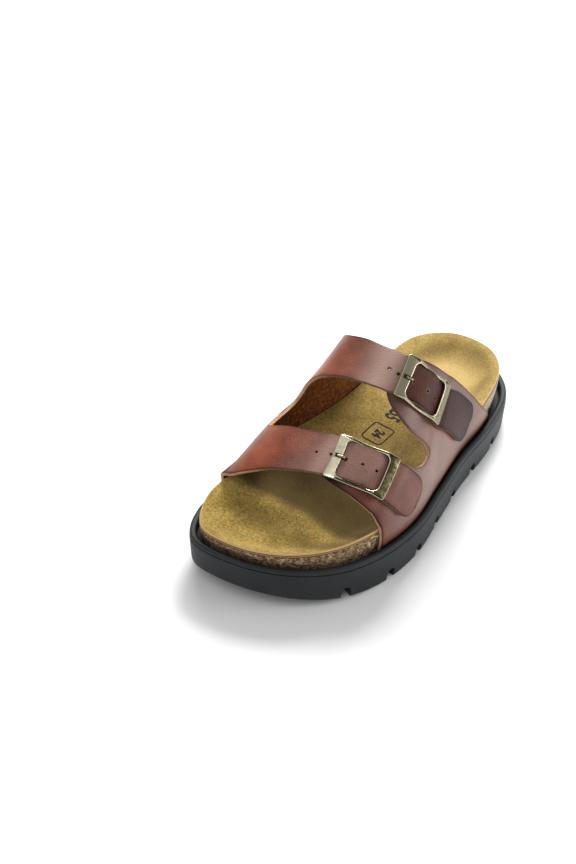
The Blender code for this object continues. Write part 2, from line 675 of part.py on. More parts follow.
def tube(name, spine, radii, sides, material=None):
    """Closed round bar along a list of points, with flat ends and one radius or one at each point."""
    spine = np.array(spine, float)
    radii = np.broadcast_to(radii, len(spine))
    ahead = np.gradient(spine, axis=0)
    ahead /= np.linalg.norm(ahead, axis=1)[:, None]
    flat = np.linalg.svd(spine - spine.mean(0))[2][-1]
    shell = Shell()
    loops = []
    for point, forward, radius in zip(spine, ahead, radii):
        side = flat - forward * flat.dot(forward)
        side /= np.linalg.norm(side)
        other = np.cross(forward, side)
        turns = np.arange(sides) * 2 * math.pi / sides
        loops.append(shell.add([point + radius * (side * math.cos(a) + other * math.sin(a)) for a in turns]))
    for near, far in zip(loops, loops[1:]):
        shell.band(near, far)
    shell.faces += [loops[0][::-1], loops[-1]]
    return shell.build(name, material)


def strap_box(name, line, p_range, half_width, lifts):
    """Closed block on a strap line that follows the last's surface, used as a cutter."""
    shell = Shell()
    loops = []
    for p in np.linspace(p_range[0], p_range[1], 5):
        loops.append(shell.add([line.at(p, q, lift) for q, lift in
                                ((-half_width, lifts[0]), (half_width, lifts[0]),
                                 (half_width, lifts[1]), (-half_width, lifts[1]))]))
    for near, far in zip(loops, loops[1:]):
        shell.band(near, far)
    shell.faces += [loops[0][::-1], loops[-1]]
    return shell.build(name, None)


def tab_end(line, table):
    """How far the outer quarter's tab reaches along the strap line."""
    a, b, c, d = table[-1]
    return float(max(line.place(a, b * LENGTH / 2), line.place(c, d * LENGTH / 2))) + GAP


def make_inner_quarter(lines, leather):
    """Inner quarter with two straps: each climbs over the tab, through its buckle, to a tail."""
    strips = []
    ends = [tab_end(lines[0], OUTER_FRONT), tab_end(lines[1], OUTER_REAR)]
    for table, other, shared, line, end in ((INNER_FRONT, INNER_REAR, 2, lines[0], ends[0]),
                                            (INNER_REAR, INNER_FRONT, 0, lines[1], ends[1])):
        strips.append(table_rows(table, shared, other) + strap_rows(line, end))
    quarter = sheet("upper_medial", strips, leather)
    for name, line in zip(("front", "rear"), lines):
        short, past, width = STRAP_HOLE
        ends = (BAR_START - short, BAR_START + past)
        cut(quarter, strap_box(f"prong_hole_{name}", line, ends, width / 2, HOLE_REACH))
    return quarter


def make_outer_quarter(lines, leather):
    """Outer quarter: two tabs, each with a sewn loop for its buckle's bar and a slot for the prong's eye."""
    strips = [table_rows(OUTER_FRONT, 2, OUTER_REAR, lines[0]),
              table_rows(OUTER_REAR, 0, OUTER_FRONT, lines[1])]
    quarter = sheet("upper_lateral", strips, leather)
    bore = CENTRE_BAR + BAR_PLAY
    reach = BUCKLE_WIDTH / 2 - SIDE_WIDTH - LOOP_PLAY
    for name, line in zip(("front", "rear"), lines):
        near = SLOT_HALF + GAP
        for side, (low, high) in (("fore", (-reach, -near)), ("aft", (near, reach))):
            spine = [line.at(0.0, q, BAR_LIFT) for q in np.linspace(low, high, 4)]
            cut(quarter, tube(f"loop_{name}_{side}", spine, bore + LOOP_WALL, 10), "UNION")
    for name, line in zip(("front", "rear"), lines):
        spine = [line.at(0.0, q, BAR_LIFT) for q in np.linspace(-reach - CUT_PAST, reach + CUT_PAST, 7)]
        cut(quarter, tube(f"bore_{name}", spine, bore, 10))
        ends = (-EYE - EYE_WIRE - GAP, BAR_START - SLOT_SHORT)
        cut(quarter, strap_box(f"slot_{name}", line, ends, SLOT_HALF, (-LEATHER - CUT_PAST, HUMP)))
    return quarter


def rounded_rectangle(half_length, half_width, radius):
    """Points round a rectangle with round corners: as many on each corner and side whatever its size."""
    points = []
    for turn, (sign_p, sign_q) in enumerate(((1, 1), (-1, 1), (-1, -1), (1, -1))):
        corner = []
        for step in range(5):
            angle = math.pi / 2 * (turn + step / 4)
            corner.append((sign_p * (half_length - radius) + radius * math.cos(angle),
                           sign_q * (half_width - radius) + radius * math.sin(angle)))
        points += corner
        if turn % 2 == 0:
            points += [(sign_p * p, sign_q * half_width) for p in RAIL_PLACES]
        else:
            places = (BUCKLE_WIDTH * 0.175, -BUCKLE_WIDTH * 0.175)
            points += [(sign_p * half_length, sign_q * q) for q in places]
    return np.array(points)


def frame_lift(p):
    """Underside of the frame over the last: low at the side bars' middle, high at the wide bars."""
    return FRAME_LOW + (FRAME_HIGH - FRAME_LOW) * eased((abs(p) - RAIL_LOW) / (RAIL_PLACES[0] - RAIL_LOW))


def frame_top(p):
    """Upper face of the frame over the last."""
    depth = BUCKLE_THICK + RAIL_EXTRA * (1 - eased(abs(p) / RAIL_PLACES[0]))
    return frame_lift(p) + depth


def make_buckle(name, line, brass):
    """Cast frame bowed to the foot, with a centre bar and a notch where the prong rests."""
    outer = (BUCKLE_LENGTH / 2, BUCKLE_WIDTH / 2, CORNER)
    inner = (BAR_START, BUCKLE_WIDTH / 2 - SIDE_WIDTH, WINDOW_CORNER)
    section = ((outer, 0.0, frame_lift, CHAMFER), (outer, 0.0, frame_top, -CHAMFER),
               (outer, -CHAMFER, frame_top, 0.0), (inner, CHAMFER, frame_top, 0.0),
               (inner, 0.0, frame_top, -CHAMFER), (inner, 0.0, frame_lift, CHAMFER),
               (inner, CHAMFER, frame_lift, 0.0), (outer, -CHAMFER, frame_lift, 0.0))
    shell = Shell()
    loops = []
    for (length, width, radius), grow, face, height in section:
        shape = rounded_rectangle(length + grow, width + grow, radius + grow)
        loops.append(shell.add([line.at(p, q, face(p) + height) for p, q in shape]))
    for near, far in zip(loops, loops[1:] + loops[:1]):
        shell.band(near, far)
    frame = shell.build(name, brass)
    reach = BUCKLE_WIDTH / 2 - SIDE_WIDTH * 0.45
    spine = [line.at(0.0, q, BAR_LIFT) for q in np.linspace(-reach, reach, 7)]
    cut(frame, tube(name + "_bar", spine, CENTRE_BAR, 10), "UNION")
    notch_end = BAR_START + BAR_WIDTH * 0.66
    rest = [line.at(p, 0.0, PRONG_LIFT) for p in np.linspace(BAR_START - 0.003, notch_end, 5)]
    cut(frame, tube(name + "_notch", rest, PRONG + GAP, 12))
    return frame


def make_prong(name, line, brass):
    """Pin bent round the centre bar, up through the strap and over the wide bar on the inner side."""
    turns = np.radians(np.linspace(30, 285, 8))
    path = [(EYE * math.cos(a), BAR_LIFT + EYE * math.sin(a), EYE_WIRE) for a in turns]
    path += [(p, lift, PRONG if k else (EYE_WIRE + PRONG) / 2) for k, (p, lift) in enumerate(PRONG_RUN)]
    path += [(BAR_START - short, lift, PRONG) for short, lift in PRONG_BEND]
    path += [(BAR_START - PRONG_RISE[0], PRONG_LIFT - PRONG_RISE[1], PRONG),
             (BAR_START - PRONG_LEVEL, PRONG_LIFT, PRONG), (BAR_START + BAR_WIDTH / 2, PRONG_LIFT, PRONG)]
    spine = [line.at(p, 0.0, lift) for p, lift, radius in path]
    return tube(name, spine, [radius for p, lift, radius in path], 7, brass)


def main():
    for old in list(bpy.data.objects):
        bpy.data.objects.remove(old)
    rubber = make_material("black EVA rubber", (0.013, 0.014, 0.015), 0.55)
    cork = make_material("cork granulate", (0.22, 0.13, 0.07), 0.9)
    suede = make_material("golden suede", (0.36, 0.22, 0.06), 0.95)
    leather = make_material("antiqued brown leather", (0.17, 0.045, 0.025), 0.4)
    brass = make_material("antique brass", (0.33, 0.27, 0.14), 0.35, 1.0)
    make_outsole(rubber)
    make_footbed(cork)
    make_insole(suede)
    lines = [StrapLine(FRONT_LINE), StrapLine(REAR_LINE)]
    make_inner_quarter(lines, leather)
    make_outer_quarter(lines, leather)
    for name, line in zip(("front", "rear"), lines):
        make_buckle("buckle_" + name, line, brass)
        make_prong("prong_" + name, line, brass)


main()
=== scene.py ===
from math import cos, pi, radians, sin

import bmesh
import bpy
import numpy as np
from mathutils import Matrix, Vector, kdtree, noise


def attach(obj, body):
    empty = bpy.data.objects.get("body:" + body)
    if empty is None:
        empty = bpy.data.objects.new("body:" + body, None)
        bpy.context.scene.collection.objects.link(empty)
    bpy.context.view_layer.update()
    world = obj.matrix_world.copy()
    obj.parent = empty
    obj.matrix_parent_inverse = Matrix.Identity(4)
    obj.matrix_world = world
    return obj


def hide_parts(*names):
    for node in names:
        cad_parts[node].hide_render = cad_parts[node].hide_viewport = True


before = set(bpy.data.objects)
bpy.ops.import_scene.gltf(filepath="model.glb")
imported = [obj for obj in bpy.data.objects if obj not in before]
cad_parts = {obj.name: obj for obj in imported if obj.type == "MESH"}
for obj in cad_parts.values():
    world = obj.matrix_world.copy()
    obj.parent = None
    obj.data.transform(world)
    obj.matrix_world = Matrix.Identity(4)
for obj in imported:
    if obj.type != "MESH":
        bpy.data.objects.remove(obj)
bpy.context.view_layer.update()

# Sizes in metres, as in the solids. The toe points to -Y and the outer side of this left foot to +X.
LENGTH = 0.250
HALF = LENGTH / 2
BALL_WIDTH = 0.108
INSTEP = 0.1111
RIM = 0.037
RIM_RISE = 0.001
LIP = 0.0247
LIP_DROP = 0.0045
LIP_SPRING = 0.5
TOE_SPRING = 0.0133
TOE_BREAK = -0.43
RECESS = 0.0054
LEATHER = 0.0022
LINING = 0.0026
GAP = 0.0003
WALL_GAP = 0.0006
STRAP_GAP = 0.0006
WALL_INSET = 0.0027
WALL_TUCK = 0.0024
TUCK_TOP = 0.034
ARCH_FOOT = 0.022
UPRIGHT_END = (0.0382, 0.0442)
SIDE_POWER = 2.29
TOP_POWER = 3.1
LIP_WIDTH = 0.0042
BED_INSET = WALL_INSET + LEATHER + WALL_GAP
CUP_DEPTH = 0.0095
CUP_RISE = 0.020
ARCH_LIFT = 0.0055

# Notches in the tread
NOTCH_WIDTH = 0.0062
NOTCH_HEIGHT = 0.0074
NOTCH_DEPTH = 0.012
NOTCH_OUT = 0.006
NOTCH_BELOW = 0.004
NOTCHES = (-0.706, -0.461, -0.246, -0.036, 0.170, 0.387, 0.612)

# Straps and buckles
STRAP_WIDTH = 0.0218
TAIL_SPREAD = 0.0012
BUCKLE_LENGTH = 0.0334
BUCKLE_WIDTH = 0.0258
BAR_WIDTH = 0.0051
SIDE_WIDTH = 0.0018
BUCKLE_THICK = 0.0017
CORNER = 0.0014
WINDOW_CORNER = 0.0036
CHAMFER = 0.00045
RAIL_END = 0.0105
CENTRE_BAR = 0.00075
BAR_PLAY = 0.0002
PRONG = 0.0007
PRONG_REST = 0.0007
EYE_WIRE = 0.00045
SLOT_HALF = 0.0014
SLOT_END = 0.0115
STRAP_HOLE = (0.0086, 0.0122, 0.0021)   # hole for the prong: start, end and width
LOOP_WALL = 0.0008
LOOP_PLAY = 0.0012
SKIVE = 0.0008
SKIVE_BLEND = 0.006
TAIL_CORNER = 0.0085
HUMP_END = 0.0105
RAMP_LENGTH = 0.009
STRAIGHT = 0.017
STRAIGHT_BLEND = 0.012
EDGE_ROUND = 0.00042        # rounding of the leather's outer cut edge
EDGE_INNER = 0.00022        # and of its inner one
ARC = 0.29                  # how far the middle of a rounding lies inside its corner
SOFT_HUMP = 0.55            # worn leather lies only this much of the height over a centre bar

# How fine the pieces are made
STATIONS = 150              # along a side of the sole, cork or lining
ACROSS = 40                 # cells across the footbed
TABLE_STEPS = 9             # rows of leather from each row of its table
LINE_STEPS = 16             # steps of a strap line from each row of its table
CELLS = 26                  # cells across a strap
SOFTENING = 60              # rounds of evening out a strap line


def table(*rows):
    """Rows written in thousandths."""
    return np.array(rows) / 1000


# Outline of the sole: heel +1000 to toe -1000, and across
OUTLINE = table(
    (1000, -40), (953, 350), (800, 630), (543, 765), (274, 810), (9, 905), (-265, 997), (-528, 927), (-754, 708),
    (-918, 320), (-998, -186), (-970, -727), (-750, -996), (-477, -980), (-215, -917), (62, -778), (310, -719),
    (555, -764), (809, -697), (958, -408),
)
# Foot under the straps: place, height and lean of each section
SECTIONS = table(
    (-840, 400, -130), (-680, 482, -120), (-560, 576, -120), (-400, 664, -75), (-240, 739, -40), (-80, 833, 20),
    (80, 942, 80), (240, 995, 140), (400, 911, 140), (560, 660, 140), (720, 540, 140),
)
# Side of the sole from the floor to the lip's inner edge: inset and level
SIDE_PROFILE = table(
    (520, 0), (270, 55), (130, 400), (0, 800), (220, 835), (40, 870), (40, 935), (170, 980), (450, 1000),
    (840, 985), (1000, 930),
)
# Dish of the footbed: place, depth, reach of its side, lift under the arch
BED = table(
    (-1000, 360, 550, 0), (-750, 500, 650, 0), (-450, 620, 800, 150), (-150, 580, 900, 600),
    (100, 600, 1000, 1000), (350, 800, 1050, 700), (650, 1000, 1050, 200), (1000, 950, 1000, 0),
)
# Cut of the leather, row by row: share of the girth and place of its front edge, then of its rear edge
INNER_FRONT = table(
    (1000, -600, 1000, -60), (900, -604, 900, -110), (840, -618, 840, -175), (800, -636, 800, -235),
    (770, -642, 792, -305), (740, -638, 768, -355), (710, -633, 735, -382), (670, -623, 690, -396),
    (600, -602, 610, -402),
)
INNER_REAR = table(
    (1000, -60, 1000, 610), (900, -110, 900, 508), (840, -175, 840, 416), (800, -235, 800, 344),
    (799, -170, 770, 280), (786, -128, 740, 224), (755, -110, 710, 168), (700, -118, 660, 106),
    (620, -130, 600, 58), (530, -130, 530, 42),
)
OUTER_FRONT = table(
    (0, -496, 0, -130), (80, -512, 80, -130), (140, -524, 140, -132), (190, -536, 190, -140),
    (203, -543, 192, -168), (220, -550, 200, -198), (260, -562, 218, -236), (310, -568, 245, -275),
    (360, -570, 290, -325), (405, -565, 345, -362), (435, -552, 395, -388), (447, -525, 436, -425),
)
OUTER_REAR = table(
    (0, -130, 0, 624), (80, -130, 80, 560), (140, -132, 140, 464), (190, -140, 190, 376), (193, -116, 203, 352),
    (206, -103, 220, 326), (236, -116, 260, 260), (275, -148, 300, 200), (320, -164, 345, 146),
    (370, -160, 390, 98), (410, -138, 425, 66), (440, -96, 446, 20),
)
SPLIT_ROW = 3               # row where a quarter parts into its two strips
FRONT_LINE = table(
    (600, -502), (520, -488), (420, -468), (340, -444), (260, -404), (190, -352), (125, -298),
)
REAR_LINE = table(
    (600, -36), (520, -44), (420, -28), (340, 8), (265, 68), (205, 158), (118, 290),
)
BUCKLE_ROW = 3
PARTING = -0.028            # place between the two straps

# Punched holes of each strap: metres along its line from the buckle, and across it to the heel
HOLES = (
    ((-0.0076, 0.0004), (0.0003, 0.0), (0.0181, 0.0001), (0.0269, -0.0001)),
    ((-0.0080, -0.0006), (0.0000, -0.0006), (0.0180, 0.0002), (0.0235, 0.0006)),
)
HOLE = 0.00085              # radius of a punched hole
PUNCH = 0.003               # reach of the punch, each way
OVER_LEATHER = 0.009        # how far a cutter reaches above the last
PAST_LEATHER = 0.001        # how far a cutter reaches below the leather
PAST_LOOP = 0.0005          # and past the end of a loop

# Seat of the rear buckle: its lean, the reach of the lean, and the way its inner end rises
SEAT_LEAN = 0.3
SEAT_REACH = 0.035
SEAT_WAY = (0.42, -0.66, 0.62)

# Suede: middle and half size of the pale heel, and painted shadow under the front strap and between the straps
HEEL_RUB = (0.001, 0.083)
HEEL_SIZE = (0.022, 0.026)
UNDER_STRAP = 0.86
BETWEEN_STRAPS = 1.15

# Printed numbers: place of their middle, height, and width against the plain typeface
PRINT = (("255", (-0.0045, 0.0358), 0.0095, 0.66), ("24", (-0.0025, 0.0130), 0.0055, 0.9))
# Printed frame: middle, half height, half width, corner radius and thickness
STAMP = ((-0.0025, 0.0130), 0.0085, 0.0065, 0.0022, 0.0008)
INK = 0.00008               # thickness of the ink, each way
INK_LIFT = 0.00006          # middle of the ink above the suede
STROKE = 0.00035            # how much bolder than the plain typeface
CAP_HEIGHT = 0.7            # height of the typeface's numbers against its size

# Lining's edge from its underside up: share of its depth, and inset
LINING_EDGE = (
    (1.0, 0.00045), (0.95, 0.0001), (0.85, 0.0), (0.62, 0.0), (0.56, 0.0001), (0.50, 0.00045),
    (0.44, 0.0001), (0.36, 0.0), (0.20, 0.00006), (0.10, 0.0003), (0.04, 0.0006), (0.0, 0.0012),
)


# Curves and heights

def eased(value):
    """Smooth step from 0 to 1."""
    value = np.clip(value, 0.0, 1.0)
    return value * value * (3.0 - 2.0 * value)


def step(value, start, reach):
    """Smooth step from 0 at a start to 1 after a reach, which may be negative."""
    return eased((value - start) / reach)


def unit(rows):
    """Directions of length 1."""
    return rows / np.linalg.norm(rows, axis=-1, keepdims=True)


def column(rows, index, at):
    """Smooth reading of one column, by the place in the first."""
    place, value = rows[:, 0], rows[:, index]
    slope = np.gradient(value, place)
    at = np.clip(at, place[0], place[-1])
    low = np.clip(np.searchsorted(place, at, side="right") - 1, 0, len(place) - 2)
    width = place[low + 1] - place[low]
    t = (at - place[low]) / width
    return ((2 * t ** 3 - 3 * t ** 2 + 1) * value[low] + (t ** 3 - 2 * t ** 2 + t) * width * slope[low]
            + (3 * t ** 2 - 2 * t ** 3) * value[low + 1] + (t ** 3 - t ** 2) * width * slope[low + 1])


def through(points, steps, closed=False):
    """Smooth curve through a short list of points."""
    points = np.array(points, float)
    count = len(points)
    curve = []
    for index in range(count if closed else count - 1):
        near = [index - 1, index, index + 1, index + 2]
        near = [k % count if closed else min(max(k, 0), count - 1) for k in near]
        a, b, c, d = points[near]
        for t in np.arange(steps) / steps:
            curve.append(0.5 * (2 * b + (c - a) * t + (2 * a - 5 * b + 4 * c - d) * t ** 2
                                + (d - a + 3 * b - 3 * c) * t ** 3))
    if not closed:
        curve.append(points[-1])
    return np.array(curve)


def sole_outline():
    curve = through(OUTLINE, 24, closed=True)[:, ::-1]
    low, high = curve.min(0), curve.max(0)
    return (curve - (low + high) / 2) * (BALL_WIDTH / 2, 2 / (high[1] - low[1]) * HALF)


SOLE = sole_outline()


def inset_outline(inset):
    """The sole's outline moved inwards."""
    along = unit(np.roll(SOLE, -1, 0) - np.roll(SOLE, 1, 0))
    inward = np.stack([-along[:, 1], along[:, 0]], 1)
    if ((SOLE + inward) ** 2).sum() > ((SOLE - inward) ** 2).sum():
        inward = -inward
    return SOLE + inward * inset


def two_sides(inset):
    """Outer and inner side of an inset outline, from toe to heel."""
    curve = inset_outline(inset)
    curve = np.roll(curve, -curve[:, 1].argmin(), 0)
    heel = curve[:, 1].argmax()
    sides = curve[:heel + 1], np.concatenate([curve[:1], curve[:heel - 1:-1]])
    return sorted(sides, key=lambda side: -side[:, 0].mean())


def ring(inset):
    """Points round an outline: toe, outer side, heel, inner side, in pairs at one station."""
    outer, inner = two_sides(inset)
    toe, heel = outer[0], outer[-1]
    turn = np.arange(1, STATIONS) * pi / STATIONS
    y = (toe[1] + heel[1]) / 2 - (heel[1] - toe[1]) / 2 * np.cos(turn)
    right, left = (np.stack([np.interp(y, side[:, 1], side[:, 0]), y], 1) for side in (outer, inner))
    return np.concatenate([[toe], right, [heel], left[::-1]])


def tread_height(y):
    """Underside of the sole above the floor."""
    start = TOE_BREAK * HALF
    return TOE_SPRING * np.clip((start - y) / (HALF + start), 0, 1) ** 2


def lip_height(y):
    """Top of the sole's lip."""
    drop = LIP_DROP * np.clip(y / LENGTH + 0.5 + TOE_BREAK / 2, 0, 1)
    return LIP + LIP_SPRING * tread_height(y) - drop


def seat_height(y):
    """Floor of the recess inside the lip."""
    return lip_height(y) - RECESS


def wall_inset(z):
    """How far the leather lies inside the sole's outline at a height on the footbed's side."""
    tuck = np.clip((TUCK_TOP - z) / (TUCK_TOP - ARCH_FOOT + 0.001), 0, 1) ** 1.5
    return WALL_INSET + WALL_TUCK * tuck


def rim_height(y):
    """Rim of the footbed."""
    return RIM + RIM_RISE * (y / LENGTH + 0.5)


def bed_height(points):
    """Top of the footbed at (x, y): a dish below the rim, lifted under the arch of the foot."""
    edge = inset_outline(BED_INSET)
    away = np.sqrt(((points[:, None, :] - edge[None]) ** 2).sum(2)).min(1)
    share = points[:, 1] / HALF
    depth = CUP_DEPTH * column(BED, 1, share)
    reach = CUP_RISE * column(BED, 2, share)
    lift = ARCH_LIFT * column(BED, 3, share) * eased(-points[:, 0] / (BALL_WIDTH / 2) * 1.4 + 0.1)
    return rim_height(points[:, 1]) - (depth - lift) * eased(away / reach)


# Bodies

def stand(name, data):
    """Puts something into the scene."""
    thing = bpy.data.objects.new(name, data)
    bpy.context.scene.collection.objects.link(thing)
    return thing


def smooth(thing, angle=40):
    """Soft shading, creased where faces meet at more than the angle."""
    thing.data.shade_smooth()
    thing.data.set_sharp_from_angle(angle=radians(angle))
    return thing


class Shell:
    """Points, faces and named values of one closed body."""

    def __init__(self):
        self.points = []
        self.faces = []
        self.marks = {}

    def add(self, points, **marks):
        ids = range(len(self.points), len(self.points) + len(points))
        self.points.extend([tuple(map(float, point)) for point in points])
        for name, value in marks.items():
            value = np.broadcast_to(value, len(points)).astype(float)
            self.marks.setdefault(name, {}).update(zip(ids, value))
        return list(ids)

    def level(self, flat, height, **marks):
        """Adds flat points at their heights."""
        return self.add(np.column_stack([flat, height]), **marks)

    def bands(self, loops, caps=False):
        """Quads between closed rings, with flat ends if asked."""
        for lower, upper in zip(loops, loops[1:]):
            for k in range(len(lower)):
                n = (k + 1) % len(lower)
                self.faces.append((lower[k], lower[n], upper[n], upper[k]))
        if caps:
            self.faces += [tuple(loops[0][::-1]), tuple(loops[-1])]

    def cap(self, loop, cells=1, drop=0.0):
        """Closes a ring straight across, or in cells that follow the footbed's dish."""
        share = 0.5 - 0.5 * np.cos(np.arange(1, cells) / cells * pi)
        rows = []
        for k in range(1, STATIONS):
            right, left = (np.array(self.points[loop[n]])[:2] for n in (k, -k))
            flat = left + (right - left) * share[:, None]
            rows.append([loop[-k], *self.level(flat, bed_height(flat) - drop), loop[k]])
        for near, far in zip(rows, rows[1:]):
            self.faces += [(near[k], near[k + 1], far[k + 1], far[k]) for k in range(cells)]
        for tip, row in ((loop[0], rows[0]), (loop[STATIONS], rows[-1])):
            self.faces += [(tip, row[k], row[k + 1]) for k in range(cells)]

    def build(self, name, material=None, angle=40):
        """The body as an object, its faces outward."""
        mesh = bpy.data.meshes.new(name)
        mesh.from_pydata(self.points, [], self.faces)
        body = bmesh.new()
        body.from_mesh(mesh)
        bmesh.ops.recalc_face_normals(body, faces=body.faces)
        if body.calc_volume(signed=True) < 0:
            bmesh.ops.reverse_faces(body, faces=body.faces)
        body.to_mesh(mesh)
        body.free()
        for mark, values in self.marks.items():
            attribute = mesh.attributes.new(mark, "FLOAT", "POINT")
            for index, value in values.items():
                attribute.data[index].value = value
        if material:
            mesh.materials.append(material)
        return smooth(stand(name, mesh), angle)


def settle(thing):
    """Turns an object's modifiers into its plain mesh."""
    tree = bpy.context.evaluated_depsgraph_get()
    tree.update()
    mesh = bpy.data.meshes.new_from_object(thing.evaluated_get(tree), preserve_all_data_layers=True,
                                           depsgraph=tree)
    thing.modifiers.clear()
    thing.data = mesh
    return smooth(thing)


def cut(body, cutter, operation="DIFFERENCE"):
    """Takes a cutter out of the body, or joins it on. The cutter is used up."""
    modifier = body.modifiers.new(cutter.name, "BOOLEAN")
    modifier.operation, modifier.solver, modifier.object = operation, "MANIFOLD", cutter
    settle(body)
    bpy.data.objects.remove(cutter)


def loft(name, rings, material=None, **marks):
    """Closed body through rings of points. A mark has one value, or one for each ring."""
    shell = Shell()
    marks = {mark: np.broadcast_to(value, len(rings)) for mark, value in marks.items()}
    shell.bands([shell.add(points, **{mark: value[k] for mark, value in marks.items()})
                 for k, points in enumerate(rings)], caps=True)
    return shell.build(name, material)


def tube(name, spine, radii, sides, material, **marks):
    """Closed round bar along points that lie in one plane."""
    spine = np.array(spine, float)
    flat = np.linalg.svd(spine - spine.mean(0))[2][-1]
    turns = np.arange(sides) * 2 * pi / sides
    rings = []
    for point, forward, radius in zip(spine, unit(np.gradient(spine, axis=0)), np.broadcast_to(radii, len(spine))):
        side = unit(flat - forward * flat.dot(forward))
        other = np.cross(forward, side)
        rings.append([point + radius * (side * cos(a) + other * sin(a)) for a in turns])
    return loft(name, rings, material, **marks)


def round_rectangle(half_long, half_wide, radius, steps, along=(), across=()):
    """Points round a rectangle with round corners, with more on its sides if given."""
    points = []
    for turn, (sign_p, sign_q) in enumerate(((1, 1), (-1, 1), (-1, -1), (1, -1))):
        for angle in (turn + np.arange(steps + 1) / steps) * pi / 2:
            points.append((sign_p * (half_long - radius) + radius * cos(angle),
                           sign_q * (half_wide - radius) + radius * sin(angle)))
        if turn % 2 == 0:
            points += [(sign_p * p, sign_q * half_wide) for p in along]
        else:
            points += [(sign_p * half_long, sign_q * q) for q in across]
    return np.array(points)


def finish_piece(piece, node):
    """Rides the piece on the one body, in place of its solid."""
    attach(piece, "root")
    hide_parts(node)


# Materials

def colour(code):
    """Linear colour from an sRGB hex code."""
    parts = [int(code[k:k + 2], 16) / 255 for k in (1, 3, 5)]
    return tuple(c / 12.92 if c <= 0.04045 else ((c + 0.055) / 1.055) ** 2.4 for c in parts) + (1.0,)


def feed(tree, socket, value):
    """Gives a socket another node's output, a value or a hex colour."""
    if isinstance(value, bpy.types.NodeSocket):
        tree.links.new(value, socket)
    else:
        socket.default_value = colour(value) if str(value).startswith("#") else value


def add(tree, kind, output=None, links=None, **settings):
    """Adds a node, feeds its inputs, and gives one of its outputs, or else the node."""
    node = tree.nodes.new(kind)
    for name, value in settings.items():
        setattr(node, name, value)
    for name, value in (links or {}).items():
        feed(tree, node.inputs[name], value)
    return node.outputs[output] if output else node


class Finish:
    """A material, and the few kinds of node that the materials here are made of."""

    def __init__(self, name, **sockets):
        self.material = bpy.data.materials.new(name)
        self.material.use_nodes = True
        self.tree = self.material.node_tree
        self.place = self.node("TexCoord", "Object")
        self.give(**sockets)

    def give(self, **sockets):
        """Feeds the shader."""
        for name, value in sockets.items():
            feed(self.tree, self.tree.nodes["Principled BSDF"].inputs[name.replace("_", " ")], value)
        return self.material

    def node(self, kind, output, links=None, **settings):
        return add(self.tree, "ShaderNode" + kind, output, links, **settings)

    def noise(self, scale, detail, roughness=0.5, place=None, distortion=0.0):
        return self.node("TexNoise", "Fac", {"Vector": place or self.place, "Scale": scale, "Detail": detail,
                                             "Roughness": roughness, "Distortion": distortion})

    def cells(self, scale, output, feature="F1"):
        """Cells round scattered points."""
        return self.node("TexVoronoi", output, {"Vector": self.place, "Scale": scale}, feature=feature)

    def mark(self, name):
        """A value that the shape carries on its points."""
        return self.node("Attribute", "Fac", attribute_name=name)

    def ramp(self, factor, *stops):
        """Colour ramp through (position, hex code or grey value) stops."""
        node = add(self.tree, "ShaderNodeValToRGB", None, {"Fac": factor})
        elements = node.color_ramp.elements
        while len(elements) < len(stops):
            elements.new(0.5)
        for element, (position, value) in zip(elements, stops):
            element.position = position
            element.color = colour(value) if isinstance(value, str) else (value, value, value, 1.0)
        return node.outputs["Color"]

    def mix(self, factor, first, second, blend="MIX", kind="RGBA"):
        return self.node("Mix", "Result", {"Factor": factor, "A": first, "B": second}, data_type=kind,
                         blend_type=blend)

    def join(self, first, second, operation="MAXIMUM"):
        return self.node("Math", "Value", {0: first, 1: second}, operation=operation)

    def change(self, value, start, end, low, high):
        """Straight change from low to high while the value goes from start to end."""
        return self.node("MapRange", "Result", {"Value": value, "From Min": start, "From Max": end,
                                                "To Min": low, "To Max": high})

    def towards_heel(self, start, end, share):
        """Share that grows between two places along the shoe."""
        return self.change(self.node("SeparateXYZ", "Y", {"Vector": self.place}), start, end, 0.0, share)

    def relief(self, height, strength, depth):
        return self.node("Bump", "Normal", {"Height": height, "Strength": strength, "Distance": depth})


